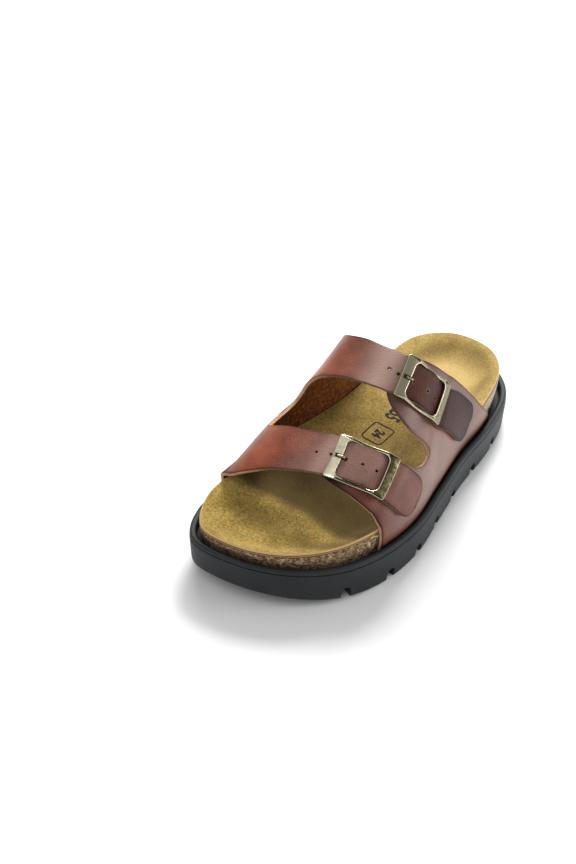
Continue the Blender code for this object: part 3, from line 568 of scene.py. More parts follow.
def leather_material():
    """Vegetable-tanned leather, dyed by hand and waxed: burnt orange and mauve brown, partly painted light, the mauve
    standing in for sky reflected on faces turned up and out, the orange for sides that reflect none. It is nearly
    black where dye gathers at the edges and on the tails, and in painted shade low on the inner side, along the sole
    and in holes, with a painted pale highlight on the crowns. Fine pores, hair-thin creases, a soft wax gloss, a raw
    cut edge and a brown napped flesh side."""
    f = Finish("antiqued waxed leather", IOR=1.5, Coat_Roughness=0.34, Coat_IOR=1.5, Coat_Tint="#efe8e0")
    cloud = f.noise(42.0, 5.0, 0.6)
    mauve = f.ramp(cloud, (0.32, "#5c382e"), (0.50, "#74493c"), (0.68, "#865848"))
    orange = f.ramp(cloud, (0.32, "#6c2a12"), (0.52, "#8c4020"), (0.70, "#a05430"))
    # nearly black: dye along the edges and on the tails, painted shade low on the inner side, along the sole and in
    # holes
    dark = f.mark("burnish")
    grain_side = f.mix(dark, f.mix(f.mark("warm"), mauve, orange), "#1c0a08")
    # painted highlight: a pale sheen on the crowns, in the front window and on the outer quarter
    grain_side = f.mix(f.mark("bloom"), grain_side, "#b6968a")
    # pores about 0.7 mm apart, creases about 2 mm apart
    stretched = f.node("Mapping", "Vector", {"Vector": f.place, "Rotation": (0.3, 0.0, 0.9),
                                             "Scale": (1.0, 0.3, 1.0)})
    creases = f.noise(700.0, 4.0, 0.65, stretched, 0.8)
    skin = f.join(f.cells(1300.0, "Distance", "SMOOTH_F1"), creases, "ADD")
    # cut edge, dyed over or raw
    fibre = f.noise(1600.0, 2.0)
    raw_edge = f.ramp(fibre, (0.3, "#a8785a"), (0.7, "#e0b894"))
    dyed_edge = f.ramp(fibre, (0.3, "#5a4436"), (0.7, "#94786a"))
    raw, flesh = f.mark("raw"), f.mark("flesh")
    tone = f.mix(raw, grain_side, f.mix(f.mark("pale"), dyed_edge, raw_edge))
    # napped flesh side
    nap = f.ramp(f.noise(420.0, 6.0, 0.72), (0.34, "#4a2812"), (0.52, "#75441f"), (0.70, "#9a6636"))
    dull = f.join(raw, flesh)
    quiet = f.join(dull, dark)
    return f.give(Base_Color=f.mix(flesh, tone, nap), Roughness=f.change(dull, 0.0, 1.0, 0.42, 0.95),
                  Coat_Weight=f.change(quiet, 0.0, 0.6, 0.35, 0.0),
                  Specular_IOR_Level=f.change(quiet, 0.0, 0.6, 0.5, 0.12), Normal=f.relief(skin, 0.45, 0.0004))


def suede_material():
    """Split-leather suede, brushed: short olive-gold nap in soft light and dark clouds, dusty, with no gloss. It is
    paler towards the heel, where a heel rubs and with painted light, and darker in painted shadow under and between
    the straps and in painted shade round the heel cup. Its edge shows the suede, a dark glue line and the tan
    backing.
    The printed numbers are black ink."""
    f = Finish("golden suede lining", Roughness=0.95, IOR=1.45, Sheen_Weight=0.12, Sheen_Roughness=0.5,
               Sheen_Tint="#e8cf94")
    fuzz = f.noise(760.0, 4.0, 0.85)
    nap = f.mix(0.72, f.noise(70.0, 4.0, 0.6), fuzz, kind="FLOAT")
    tone = f.ramp(nap, (0.36, "#5c4a18"), (0.50, "#967c38"), (0.62, "#bda05a"))
    # paler with wear and painted light at the heel, darker with painted shadow and shade
    tone = f.mix(f.mark("soil"), f.mix(f.mark("worn"), tone, "#d6b87c"), "#3e2c05")
    depth = f.mark("depth")
    on_edge = f.ramp(depth, (0.0, 0.0), (0.06, 1.0), (0.96, 1.0), (0.97, 0.0))
    layers = f.ramp(depth, (0.0, "#b89660"), (0.32, "#cfb080"), (0.38, "#281608"), (0.54, "#281608"),
                    (0.60, "#a88258"), (0.88, "#946e4a"), (0.93, "#281608"))
    tone = f.mix(f.mark("ink"), f.mix(on_edge, tone, layers), "#120d0a")
    return f.give(Base_Color=tone, Normal=f.relief(fuzz, 0.5, 0.0005))


def cork_material():
    """Pressed cork granulate with natural rubber: grains of 1 to 2 mm in many browns, with dark pits between. The
    heel end is painted paler, standing in for the stronger light there."""
    f = Finish("pressed cork granulate", Roughness=0.9, IOR=1.45)
    pick = f.node("SeparateColor", "Red", {"Color": f.cells(850.0, "Color")})
    tone = f.ramp(pick, (0.0, "#5e4630"), (0.25, "#866a48"), (0.55, "#a08460"), (0.8, "#b69a74"),
                  (1.0, "#dcc8a4"))
    pits = f.ramp(f.cells(850.0, "Distance", "DISTANCE_TO_EDGE"), (0.0, 0.5), (0.09, 1.0))
    dirt = f.ramp(f.noise(300.0, 4.0), (0.38, 0.55), (0.54, 1.0))
    tone = f.mix(1.0, f.mix(1.0, tone, pits, "MULTIPLY"), dirt, "MULTIPLY")
    # painted light: paler towards the heel
    return f.give(Base_Color=f.mix(f.towards_heel(0.02, 0.09, 0.72), tone, "#cbbdac"),
                  Normal=f.relief(pits, 0.7, 0.0006))


def rubber_material():
    """Foamed black rubber, moulded and matt: a faint fine mould texture, hardly any shine, and nearly no light in
    its notches and inside the lip, painted near-black. It is painted greyer towards the heel, as in more light."""
    f = Finish("moulded black foam rubber", Roughness=0.58, IOR=1.5, Specular_IOR_Level=0.28)
    tone = f.ramp(f.noise(60.0, 6.0, 0.6), (0.3, "#191c1e"), (0.7, "#25292b"))
    # painted light: greyer towards the heel
    tone = f.mix(f.towards_heel(-0.05, 0.06, 0.6), tone, "#393e3f")
    # painted shade, nearly black, in the notches and inside the lip
    return f.give(Base_Color=f.mix(f.mark("deep"), tone, "#030303"),
                  Normal=f.relief(f.noise(1500.0, 2.0), 0.15, 0.0002))


def brass_material():
    """Cast zinc plated in antique brass: a dark olive patina, brushed off to pale metal along the edges, which carry
    a painted highlight too, with painted shade darkening the frame's sides.
    """
    f = Finish("antique brass plate", Metallic=1.0)
    patches = f.noise(420.0, 6.0, 0.7)
    patina = f.ramp(patches, (0.36, "#1f1d0c"), (0.50, "#403c22"), (0.64, "#6c6646"))
    # pale: bare metal and painted highlight; dark: patina and painted shade
    return f.give(Base_Color=f.mix(f.mark("worn"), patina, "#e6dcc0"),
                  Roughness=f.change(patches, 0.3, 0.7, 0.46, 0.26), Normal=f.relief(patches, 0.35, 0.0002))


LEATHER_FINISH = leather_material()
BRASS_FINISH = brass_material()


# What repeats

def set_out_tree(name):
    """Sets one shape on every point of the mesh, its Z along the point's own aim and its X upwards."""
    tree = bpy.data.node_groups.new(name, "GeometryNodeTree")
    for socket, way, kind in (("Points", "INPUT", "Geometry"), ("Shape", "INPUT", "Object"),
                              ("Finish", "INPUT", "Material"), ("Result", "OUTPUT", "Geometry")):
        tree.interface.new_socket(name=socket, in_out=way, socket_type="NodeSocket" + kind)
    entry = add(tree, "NodeGroupInput").outputs
    points = add(tree, "GeometryNodeMeshToPoints", "Points", {"Mesh": entry["Points"]})
    aim = add(tree, "GeometryNodeInputNamedAttribute", "Attribute", {"Name": "aim"}, data_type="FLOAT_VECTOR")
    turn = add(tree, "FunctionNodeAlignRotationToVector", "Rotation", {"Vector": aim}, axis="Z")
    upright = add(tree, "FunctionNodeAlignRotationToVector", "Rotation",
                  {"Rotation": turn, "Vector": (0.0, 0.0, 1.0)}, axis="X", pivot_axis="Z")
    shape = add(tree, "GeometryNodeObjectInfo", "Geometry", {"Object": entry["Shape"]})
    placed = add(tree, "GeometryNodeInstanceOnPoints", "Instances",
                 {"Points": points, "Instance": shape, "Rotation": upright})
    real = add(tree, "GeometryNodeRealizeInstances", "Geometry", {"Geometry": placed})
    done = add(tree, "GeometryNodeSetMaterial", "Geometry", {"Geometry": real, "Material": entry["Finish"]})
    add(tree, "NodeGroupOutput", None, {"Result": done})
    return tree


SET_OUT = set_out_tree("set out on points")


def set_out(name, places, aims, shape, material):
    """Mesh of a shape repeated on points. The shape is used up."""
    mesh = bpy.data.meshes.new(name)
    mesh.from_pydata([tuple(place) for place in places], [], [])
    attribute = mesh.attributes.new("aim", "FLOAT_VECTOR", "POINT")
    for index, aim in enumerate(aims):
        attribute.data[index].vector = tuple(aim)
    thing = stand(name, mesh)
    modifier = thing.modifiers.new(name, "NODES")
    modifier.node_group = SET_OUT
    given = {"Shape": shape, "Finish": material}
    for item in SET_OUT.interface.items_tree:
        if item.name in given:
            modifier[item.identifier] = given[item.name]
    settle(thing)
    bpy.data.objects.remove(shape)
    return thing


# The last and the straps on it

# Angles round a section, finer near the floor on both sides
SECTION_TURN = np.concatenate([[0.0], np.geomspace(1e-4, 0.05, 18), np.linspace(0.06, pi - 0.06, 220),
                               pi - np.geomspace(0.05, 1e-4, 18), [pi]])


class Last:
    """Surface that the upper is made on, read at a share of its girth and a place along it."""

    SPACING = 0.0007
    SHARES = 900

    def __init__(self, low, high):
        sides = two_sides(WALL_INSET)
        self.low = low
        rows = []
        for y in np.arange(low, high, self.SPACING):
            x, z = self.section(y, *sides)
            girth = np.concatenate([[0.0], np.cumsum(np.hypot(np.diff(x), np.diff(z)))])
            at = np.linspace(0.0, girth[-1], self.SHARES + 1)
            rows.append(np.stack([np.interp(at, girth, x), np.full_like(at, y), np.interp(at, girth, z)], 1))
        self.grid = np.array(rows)

    def lean(self, middle, along):
        """Tilts the surface round the rear buckle."""
        away = self.grid - middle
        near = np.exp(-(away ** 2).sum(-1) / SEAT_REACH ** 2)
        self.grid = self.grid - (SEAT_LEAN * (away @ along) * near)[..., None] * np.array(SEAT_WAY)

    @staticmethod
    def section(y, outer, inner):
        """Outline of the foot across the shoe, from the outer side over the top."""
        share = y / HALF
        height = INSTEP * float(column(SECTIONS, 1, share)) - ARCH_FOOT
        lean = BALL_WIDTH / 2 * float(column(SECTIONS, 2, share))
        right, left = (np.interp(y, side[:, 1], side[:, 0]) for side in (outer, inner))
        half, middle = (right - left) / 2, (right + left) / 2
        cosine, sine = np.cos(SECTION_TURN), np.abs(np.sin(SECTION_TURN))
        z = ARCH_FOOT + height * sine ** (2 / TOP_POWER)
        side = half * np.abs(cosine) ** (2 / SIDE_POWER)
        upright = (1 - step(z, UPRIGHT_END[0], UPRIGHT_END[1] - UPRIGHT_END[0])) * (np.abs(cosine) > 0.5)
        side = side + np.maximum(half - side, 0) * upright - (wall_inset(z) - WALL_INSET)
        x = middle + side * np.sign(cosine) - lean * sine ** 2 * (1 - upright)
        foot = float(seat_height(y)) + GAP + 0.0001
        return np.concatenate([[x[0]], x, [x[-1]]]), np.concatenate([[foot], z, [foot]])

    def point(self, share, y):
        share, y = np.broadcast_arrays(np.asarray(share, float), np.asarray(y, float))
        a = np.clip((y - self.low) / self.SPACING, 0, len(self.grid) - 1.001)
        b = np.clip(share, 0, 1) * (self.SHARES - 0.001)
        i, j = a.astype(int), b.astype(int)
        u, v = (a - i)[..., None], (b - j)[..., None]
        grid = self.grid
        return ((grid[i, j] * (1 - v) + grid[i, j + 1] * v) * (1 - u)
                + (grid[i + 1, j] * (1 - v) + grid[i + 1, j + 1] * v) * u)

    def out(self, share, y):
        """Direction out of the surface."""
        share, y = np.broadcast_arrays(np.asarray(share, float), np.asarray(y, float))
        round_it = self.point(np.minimum(share + 0.012, 1), y) - self.point(np.maximum(share - 0.012, 0), y)
        along = self.point(share, y + 0.0015) - self.point(share, y - 0.0015)
        return unit(np.cross(along, round_it))

    def off(self, share, y, lift):
        return self.point(share, y) + self.out(share, y) * np.asarray(lift, float)[..., None]


LAST = Last(-0.112, 0.1)


class StrapLine:
    """Middle line of a strap: p is metres from the buckle towards the inner side, q across."""

    def __init__(self, rows):
        self.curve = through(rows * (1.0, HALF), LINE_STEPS)[::-1]
        self.measure()
        out = LAST.out(*(np.interp(0.0, self.p, self.curve[:, k]) for k in (0, 1)))
        square = np.cross(out, self.ahead())
        self.square = square * (np.sign(square[1]) / np.linalg.norm(square))
        middle = self.spot(0.0)
        for repeat in range(2):
            self.across = self.side_steps()
            away = (LAST.point(*self.curve.T) - middle) @ self.square
            self.curve = self.curve - self.across * (away * self.stiff)[:, None]
            self.measure()
        self.soften(self.curve)
        self.measure()
        self.across = self.side_steps()
        self.soften(self.across)

    def ahead(self):
        """Way of the straight stretch under the buckle."""
        return self.spot(STRAIGHT / 2) - self.spot(-STRAIGHT / 2)

    def soften(self, rows):
        """Evens out the bends beyond the straight stretch."""
        for repeat in range(SOFTENING):
            bend = rows[:-2] + rows[2:] - 2 * rows[1:-1]
            rows[1:-1] += bend * ((1 - self.stiff[1:-1]) / 4)[:, None]

    def measure(self):
        """Lengths along the line, and where it has to stay straight."""
        spots = LAST.point(*self.curve.T)
        length = np.concatenate([[0.0], np.cumsum(np.linalg.norm(np.diff(spots, axis=0), axis=1))])
        self.p = length - length[len(length) - 1 - BUCKLE_ROW * LINE_STEPS]
        self.end = self.p[0]
        self.stiff = 1 - step(np.abs(self.p), STRAIGHT, STRAIGHT_BLEND)

    def place(self, share, y):
        """Length along the line at places beside it."""
        ahead = self.ahead()
        near = np.abs(self.p) < 2 * STRAIGHT
        steps = LAST.point(*self.curve[near].T) @ ahead
        return np.interp(LAST.point(share, y) @ ahead, steps, self.p[near])

    def spot(self, p):
        return LAST.point(*(np.interp(p, self.p, self.curve[:, k]) for k in (0, 1)))

    def side_steps(self):
        """Steps in (share, y) for one metre across the line on the surface."""
        share, y = self.curve.T
        count = np.arange(len(self.curve))
        move = self.curve[np.minimum(count + 2, count[-1])] - self.curve[np.maximum(count - 2, 0)]
        turn = (LAST.point(share + 0.004, y) - LAST.point(share - 0.004, y)) / 0.008
        along = (LAST.point(share, y + 0.001) - LAST.point(share, y - 0.001)) / 0.002
        ahead = unit(turn * move[:, :1] + along * move[:, 1:])
        sideways = unit(along - ahead * (along * ahead).sum(1)[:, None])
        sideways += (self.square - sideways) * self.stiff[:, None]
        return np.array([np.linalg.lstsq(np.stack([t, a], 1), s, rcond=None)[0]
                         for t, a, s in zip(turn, along, sideways)])

    def flat(self, p, q):
        """(share, y) at a place on the strap."""
        return np.stack([np.interp(p, self.p, self.curve[:, k]) + np.interp(p, self.p, self.across[:, k]) * q
                         for k in (0, 1)], -1)

    def at(self, p, q, lift):
        place = self.flat(p, q)
        return LAST.off(place[..., 0], place[..., 1], lift)

    def bar(self, low, high, count):
        """Points along the buckle's centre bar."""
        return [self.at(0.0, q, BAR_LIFT) for q in np.linspace(low, high, count)]


FRAME_LOW = GAP - SKIVE
FRAME_HIGH = STRAP_GAP + LEATHER + GAP - SKIVE
BAR_LIFT = FRAME_LOW + BUCKLE_THICK / 2
EYE = CENTRE_BAR + BAR_PLAY + EYE_WIRE
HUMP = BAR_LIFT + EYE + EYE_WIRE + GAP
PRONG_LIFT = FRAME_HIGH + BUCKLE_THICK - PRONG_REST + PRONG
BAR_START = BUCKLE_LENGTH / 2 - BAR_WIDTH

# The last leans under the rear buckle before the straps are laid on it.
rear_seat = StrapLine(REAR_LINE)
LAST.lean(rear_seat.spot(0.0), (rear_seat.spot(-0.012) - rear_seat.spot(0.012)) / 0.024)
LINES = {"front": StrapLine(FRONT_LINE), "rear": StrapLine(REAR_LINE)}


def pared(p):
    """Leather pared off the tab at a place along the strap."""
    return SKIVE * step(p, -BUCKLE_LENGTH / 2 - SKIVE_BLEND, SKIVE_BLEND)


def strap_lift(p, end):
    """Height of a strap's outer face over the last: on the foot, over the tab, and over the centre bar."""
    climb = step(p, end + RAMP_LENGTH, -RAMP_LENGTH)
    hump = 1 - eased(abs(p) / HUMP_END)
    over = LEATHER + STRAP_GAP - pared(p)
    return over * climb + SOFT_HUMP * (HUMP + LEATHER - over) * hump


def cut_rows(rows, shared, beyond):
    """Edges of one strip, row by row, from its table and that of the strip beside it."""
    size = (1.0, HALF, 1.0, HALF)
    rows, beyond = rows * size, beyond * size
    fine = through(rows, TABLE_STEPS)
    split = SPLIT_ROW * TABLE_STEPS
    edge = slice(shared, shared + 2)
    for k in range(split):
        base, part = divmod(k, TABLE_STEPS)
        fine[k, edge] = (rows[base] + (rows[base + 1] - rows[base]) * part / TABLE_STEPS)[edge]
    opening = np.concatenate([[beyond[SPLIT_ROW + 1, 2 - shared:4 - shared]], rows[SPLIT_ROW:, edge]])
    fine[split:, edge] = through(opening, TABLE_STEPS)[TABLE_STEPS:]
    return fine[:, :2], fine[:, 2:], np.zeros(len(fine))


def strap_rows(line, end):
    """Rows of a strap from where the tab under it ends over the buckle to its round-cornered tail."""
    tail = line.end + TAIL_CORNER
    p = np.concatenate([
        np.linspace(end + RAMP_LENGTH, HUMP_END, 14), np.linspace(HUMP_END, -HUMP_END, 30)[1:],
        np.linspace(-HUMP_END, tail, 26)[1:], line.end + TAIL_CORNER * (1 - np.sin(np.linspace(0, pi / 2, 14)[1:]))])
    corner = np.maximum(TAIL_CORNER - (p - line.end), 0.0)
    width = STRAP_WIDTH / 2 + TAIL_SPREAD * (step(-p, HUMP_END, 0.01) + step(p, HUMP_END, 0.012))
    width = width - (TAIL_CORNER - np.sqrt(TAIL_CORNER ** 2 - corner ** 2))
    return line.flat(p, -width), line.flat(p, width), strap_lift(p, end)


def tab_end(line, rows):
    """How far the outer quarter's tab reaches along the strap line."""
    return float(max(line.place(share, y * HALF) for share, y in (rows[-1, :2], rows[-1, 2:]))) + GAP


def cut_edge(faces, points, out):
    """Points on the cut edge, the pairs of them along it, the way out of it, and how near the next points are."""
    uses = {}
    for face in faces:
        for a, b in zip(face, face[1:] + face[:1]):
            uses.setdefault(frozenset((a, b)), []).append((a, b, face))
    border = [sides[0] for sides in uses.values() if len(sides) == 1]
    rim = sorted({int(k) for a, b, face in border for k in (a, b)})
    spot = {k: number for number, k in enumerate(rim)}
    sideways, reach = np.zeros((len(rim), 3)), np.ones(len(rim))
    for a, b, face in border:
        side = np.cross(points[b] - points[a], out[a])
        side *= -np.sign(side.dot(points[list(face)].mean(0) - (points[a] + points[b]) / 2))
        for k in (a, b):
            sideways[spot[k]] += side
    for pair in uses:
        on_rim = [spot[k] for k in pair if k in spot]
        if len(on_rim) == 1:
            a, b = points[list(pair)]
            reach[on_rim] = np.minimum(reach[on_rim], np.linalg.norm(a - b))
    return rim, [(spot[a], spot[b]) for a, b, face in border], sideways, reach


def leather_piece(name, strips, tones, shape=None):
    """Leather cut from strips of rows, with rounded cut edges.

    tones says how warm and how dark the grain side is, both partly painted light and shade, how much painted
    highlight it has, and how pale the cut edge. shape gives a small lift.
    """
    index, flat, lifts, lessen, faces = {}, [], [], [], []
    shares = np.arange(CELLS + 1) / CELLS
    for front, rear, lift, line in strips:
        place = front[:, None] + (rear - front)[:, None] * shares[None, :, None]
        ids = np.zeros(place.shape[:2], int)
        for r, c in np.ndindex(ids.shape):
            key = tuple(place[r, c].round(6))
            if key not in index:
                index[key] = len(flat)
                flat.append(place[r, c])
                lifts.append(lift[r])
                lessen.append(0.0 if line is None else float(pared(line.place(*place[r, c]))))
            ids[r, c] = index[key]
        faces += [(ids[r, c], ids[r, c + 1], ids[r + 1, c + 1], ids[r + 1, c])
                  for r, c in np.ndindex(len(place) - 1, CELLS)]
    lifts, lessen = np.array(lifts), np.array(lessen)
    share, y = np.array(flat).T
    base, out = LAST.point(share, y), LAST.out(share, y)
    lifts = lifts + (shape(base) if shape else 0.0)
    outer = base + out * (lifts - lessen)[:, None]
    inner = base + out * (lifts - LEATHER)[:, None]
    rim, border, sideways, reach = cut_edge(faces, outer, out)
    above, below = outer[rim], inner[rim]
    edge_out, up = unit(sideways), unit(above - below)
    top = np.minimum(EDGE_ROUND, reach * 0.6)[:, None]
    low = np.minimum(EDGE_INNER, reach * 0.5)[:, None]
    tree = kdtree.KDTree(len(rim))
    for k in rim:
        tree.insert(Vector(outer[k]), k)
    tree.balance()
    warm, dark, bloom, pale = tones(share, y, outer, np.array([tree.find(Vector(spot))[2] for spot in outer]))

    shell = Shell()
    outer[rim] = above - edge_out * top
    inner[rim] = below - edge_out * low
    first = shell.add(outer, raw=0.0, flesh=0.0, burnish=dark, warm=warm, bloom=bloom, pale=pale)
    last = shell.add(inner, raw=0.0, flesh=1.0, burnish=0.0, warm=0.0, pale=pale)
    rings = [[first[k] for k in rim]]
    for points, raw, flesh in ((above - (edge_out + up) * top * ARC, 0.15, 0.0), (above - up * top, 1.0, 0.0),
                               ((above + below) / 2, 1.0, 0.0), (below + up * low, 1.0, 0.0),
                               (below + (up - edge_out) * low * ARC, 0.7, 0.4)):
        rings.append(shell.add(points, raw=raw, flesh=flesh, burnish=dark[rim], warm=warm[rim], pale=pale[rim]))
    rings.append([last[k] for k in rim])
    for face in faces:
        shell.faces += [tuple(first[k] for k in face), tuple(last[k] for k in reversed(face))]
    for i, j in border:
        shell.faces += [(upper[j], upper[i], lower[i], lower[j]) for upper, lower in zip(rings, rings[1:])]
    return shell.build(name, LEATHER_FINISH, 60)


# Values on leather inside a punched or cut hole: nearly black, painted shade
BURNT = {"burnish": 1.0, "flesh": 0.0, "raw": 0.0, "warm": 0.0, "bloom": 0.0, "pale": 0.0}


def strap_box(name, line, p_range, half_width, lifts):
    """Cutter on a strap line that follows the last's surface."""
    corners = [(-half_width, lifts[0]), (half_width, lifts[0]), (half_width, lifts[1]), (-half_width, lifts[1])]
    return loft(name, [[line.at(p, q, lift) for q, lift in corners] for p in np.linspace(*p_range, 7)],
                LEATHER_FINISH, **BURNT)


# Pieces of the sole

def make_outsole():
    shell = Shell()
    loops = []
    for inset, level in through(SIDE_PROFILE, 4):
        flat = ring(inset * LIP_WIDTH)
        low, high = tread_height(flat[:, 1]), lip_height(flat[:, 1])
        # painted shade, nearly black, on the lip's inner slope and on the seat inside it
        deep = float(step(inset, 0.5, 0.35)) if level > 0.9 else 0.0
        loops.append(shell.level(flat, low + (high - low) * level, deep=deep))
    flat = ring(LIP_WIDTH)
    loops.append(shell.level(flat, seat_height(flat[:, 1]), deep=1.0))
    shell.bands(loops)
    shell.cap(loops[0])
    shell.cap(loops[-1])
    sole = shell.build("sandal_outsole", rubber_material())
    places, aims = [], []
    for number, share in enumerate(NOTCHES):
        y = share * HALF
        for outer in (True, False) if number else (True,):
            place, out = side_place(y, outer)
            places.append((*place, float(tread_height(y))))
            aims.append((*out, 0.0))
    cut(sole, set_out("tread_notches", places, aims, arch_shape(), sole.data.materials[0]))
    return sole


def side_place(y, outer, reach=0.002):
    """Point on the sole's outline at y, on its outer or inner side, and the direction outwards."""
    curve = two_sides(0.0)[0 if outer else 1]
    x, behind, before = np.interp([y, y + reach, y - reach], curve[:, 1], curve[:, 0])
    slope = (behind - before) / (2 * reach)
    out = np.array([1.0, -slope]) if outer else np.array([-1.0, slope])
    return np.array([x, y]), unit(out)


def arch_shape():
    """Round-topped tunnel along Z, its foot towards -X."""
    radius = NOTCH_WIDTH / 2
    top = NOTCH_HEIGHT - radius
    profile = [(-NOTCH_BELOW, -radius), (-NOTCH_BELOW, radius)]
    profile += [(top + radius * sin(a), radius * cos(a)) for a in np.linspace(0, pi, 15)]
    # the notch's inside takes painted shade, nearly black far in
    return loft("notch_shape", [[(x, y, z) for x, y in profile] for z in (-NOTCH_DEPTH, NOTCH_OUT)],
                deep=(1.0, 0.4))


def make_cork():
    """Cork body with its pitted side, which shows between lip and lining."""
    shell = Shell()
    loops = []
    lowest = LIP - RECESS
    for share in np.linspace(0, 1, 22):
        flat = ring(float(wall_inset(lowest + (RIM - LINING - lowest) * share)) + LEATHER + WALL_GAP)
        seat = seat_height(flat[:, 1]) + GAP
        top = rim_height(flat[:, 1]) - LINING - GAP
        points = np.column_stack([flat, seat + (top - seat) * share])
        pits = np.array([noise.noise(Vector(p) * 520) * 0.5 + noise.noise(Vector(p) * 1100) * 0.3 for p in points])
        points[:, :2] -= unit(flat) * (0.0003 * np.clip(pits + 0.2, 0, 1) * min(share * 8, 1))[:, None]
        loops.append(shell.add(points))
    shell.bands(loops)
    shell.cap(loops[0])
    shell.cap(loops[-1], ACROSS, LINING + GAP)
    return shell.build("sandal_cork", cork_material(), 80)


def make_insole():
    """Suede lining over its backing, with its wear, painted light and shade, and printed numbers."""
    shell = Shell()
    loops = []
    for depth, inset in LINING_EDGE:
        flat = ring(BED_INSET + inset)
        loops.append(shell.level(flat, rim_height(flat[:, 1]) - depth * LINING, depth=depth))
    shell.bands(loops)
    shell.cap(loops[0], ACROSS, LINING)
    shell.cap(loops[-1], ACROSS)
    flat = np.array(shell.points)[:, :2]
    x, y = flat.T
    # heel: pale where the foot rubs, paler towards the heel with painted light, with a painted shade ring round the
    # cup
    reach = np.hypot(*((flat - HEEL_RUB) / HEEL_SIZE).T)
    worn = 0.40 * (1 - step(reach, 0.55, 0.5)) + 0.25 * step(y, 0.03, 0.03)
    heel_ring = 0.30 * np.exp(-((reach - 1.12) / 0.14) ** 2) * step(y, 0.06, 0.02)
    # painted shadow under the front strap and, less, between the straps
    start = -0.074 - 0.008 * step(x, -0.005, 0.035)
    end = -0.040 + 0.034 * step(x, 0.0, 0.025)
    under = UNDER_STRAP * step(y, start, 0.009) * (1 - step(y, end, 0.022))
    between = step(y, -0.06, 0.02) * (1 - step(y, 0.03, 0.03)) * (0.22 + 0.3 * step(x, -0.005, 0.02))
    soil = np.max([heel_ring, under, BETWEEN_STRAPS * between], axis=0)
    shell.marks.update(worn=dict(enumerate(worn)), soil=dict(enumerate(soil)))
    for words, middle, high, wide in PRINT:
        add_print(shell, words, middle, high, wide)
    middle, half_high, half_wide, corner, thick = STAMP
    loops = []
    for grow, lift in ((-thick / 2, -INK), (thick / 2, -INK), (thick / 2, INK), (-thick / 2, INK)):
        shape = round_rectangle(half_high + grow, half_wide + grow, corner + grow, 4)
        loops.append(add_ink(shell, np.column_stack([shape, np.full(len(shape), lift)]), middle))
    shell.bands(loops + loops[:1])
    return shell.build("sandal_lining", suede_material(), 70)


def add_print(shell, words, middle, high, wide):
    """Numbers printed on the suede."""
    curve = bpy.data.curves.new("print", "FONT")
    curve.body, curve.size = words, high / CAP_HEIGHT
    curve.align_x = curve.align_y = "CENTER"
    curve.extrude, curve.offset, curve.resolution_u = INK, STROKE, 3
    lettering = stand("print", curve)
    body = bmesh.new()
    body.from_mesh(bpy.data.meshes.new_from_object(lettering))
    bpy.data.objects.remove(lettering)
    bmesh.ops.remove_doubles(body, verts=body.verts, dist=1e-6)
    ids = add_ink(shell, [(v.co.x * wide, v.co.y, v.co.z) for v in body.verts], middle)
    shell.faces += [tuple(ids[v.index] for v in face.verts) for face in body.faces]
    body.free()


def add_ink(shell, points, middle):
    """Lays points on the footbed, turned to read towards the toe."""
    points = np.array(points)
    flat = np.stack([middle[0] + points[:, 1], middle[1] - points[:, 0]], 1)
    return shell.level(flat, bed_height(flat) + INK_LIFT + points[:, 2], ink=1.0)


# Pieces of the upper

def soft_waves(places):
    """Slight unevenness of hand-lasted leather."""
    return np.array([noise.noise(Vector(place) * 45) for place in places]) * 0.00022


def edge_dark(away):
    """Darker along a cut edge: dye that gathers there, and painted shade of the gap beside it."""
    return 0.22 * (1 - eased(away / 0.0035)) + 0.35 * (1 - eased(away / 0.0011))


def inner_tones(share, y, place, away):
    """Burnt orange on the inner side and over the fold and mauve on top, partly painted light; nearly black towards
    the sole in painted shade, and darker tails and rear window; a painted highlight on the crowns by the buckles. The
    cut edge is raw at the quarter and dyed over towards the straps."""
    rear = y > PARTING
    on_rear = step(y, PARTING, 0.01)
    rear_tail = step(share, 0.31, -0.05) * on_rear
    rear_window = step(share, 0.42, -0.03) * on_rear * 1.15
    front_tail = step(share, 0.29, -0.05) * 0.22
    # nearly black low on the inner side: painted shade
    dark = (0.85 * step(share, 0.74, 0.14) + edge_dark(away) + 0.52 * np.maximum(rear_tail, rear_window)
            + front_tail)
    warm = step(share, 0.48, 0.16) * (1 - 0.6 * step(share, 0.84, 0.08))
    warm = np.maximum(warm, np.maximum(2.0 * front_tail, 0.35 * rear_tail))
    # painted highlight on the crowns of the straps and in the front window
    crown = np.exp(-((share - 0.445 - 0.025 * rear) / 0.048) ** 2) * step(share, 0.37, 0.03)
    front_window = step(share, 0.29, 0.02) * (1 - step(share, 0.38, 0.02)) * (y < PARTING)
    bloom = (0.52 + 0.30 * rear) * crown + 0.16 * front_window
    return warm, np.clip(dark, 0, 1), bloom, step(share, 0.60, 0.12)


def outer_tones(share, y, place, away):
    """Mauve grey, partly painted reflection, a little redder in front, darker up at the tabs and towards the toe,
    with painted shade along the sole and a faint painted highlight on the middle. The cut edge is raw low down.
    """
    warm = 0.5 * step(-y, 0.040, 0.030)
    # painted shade along the sole, and darker towards the toe
    low = 0.8 * (1 - step(place[:, 2], 0.022, 0.006)) + 0.3 * step(-y, 0.048, 0.02)
    dark = edge_dark(away) + 0.5 * step(share, 0.30, 0.10) + low
    # faint painted highlight on the middle of the quarter
    bloom = 0.12 * step(y, -0.05, 0.03) * (1 - eased(y / 0.04))
    return warm, np.clip(dark, 0, 1), bloom, 1 - step(share, 0.26, 0.08)


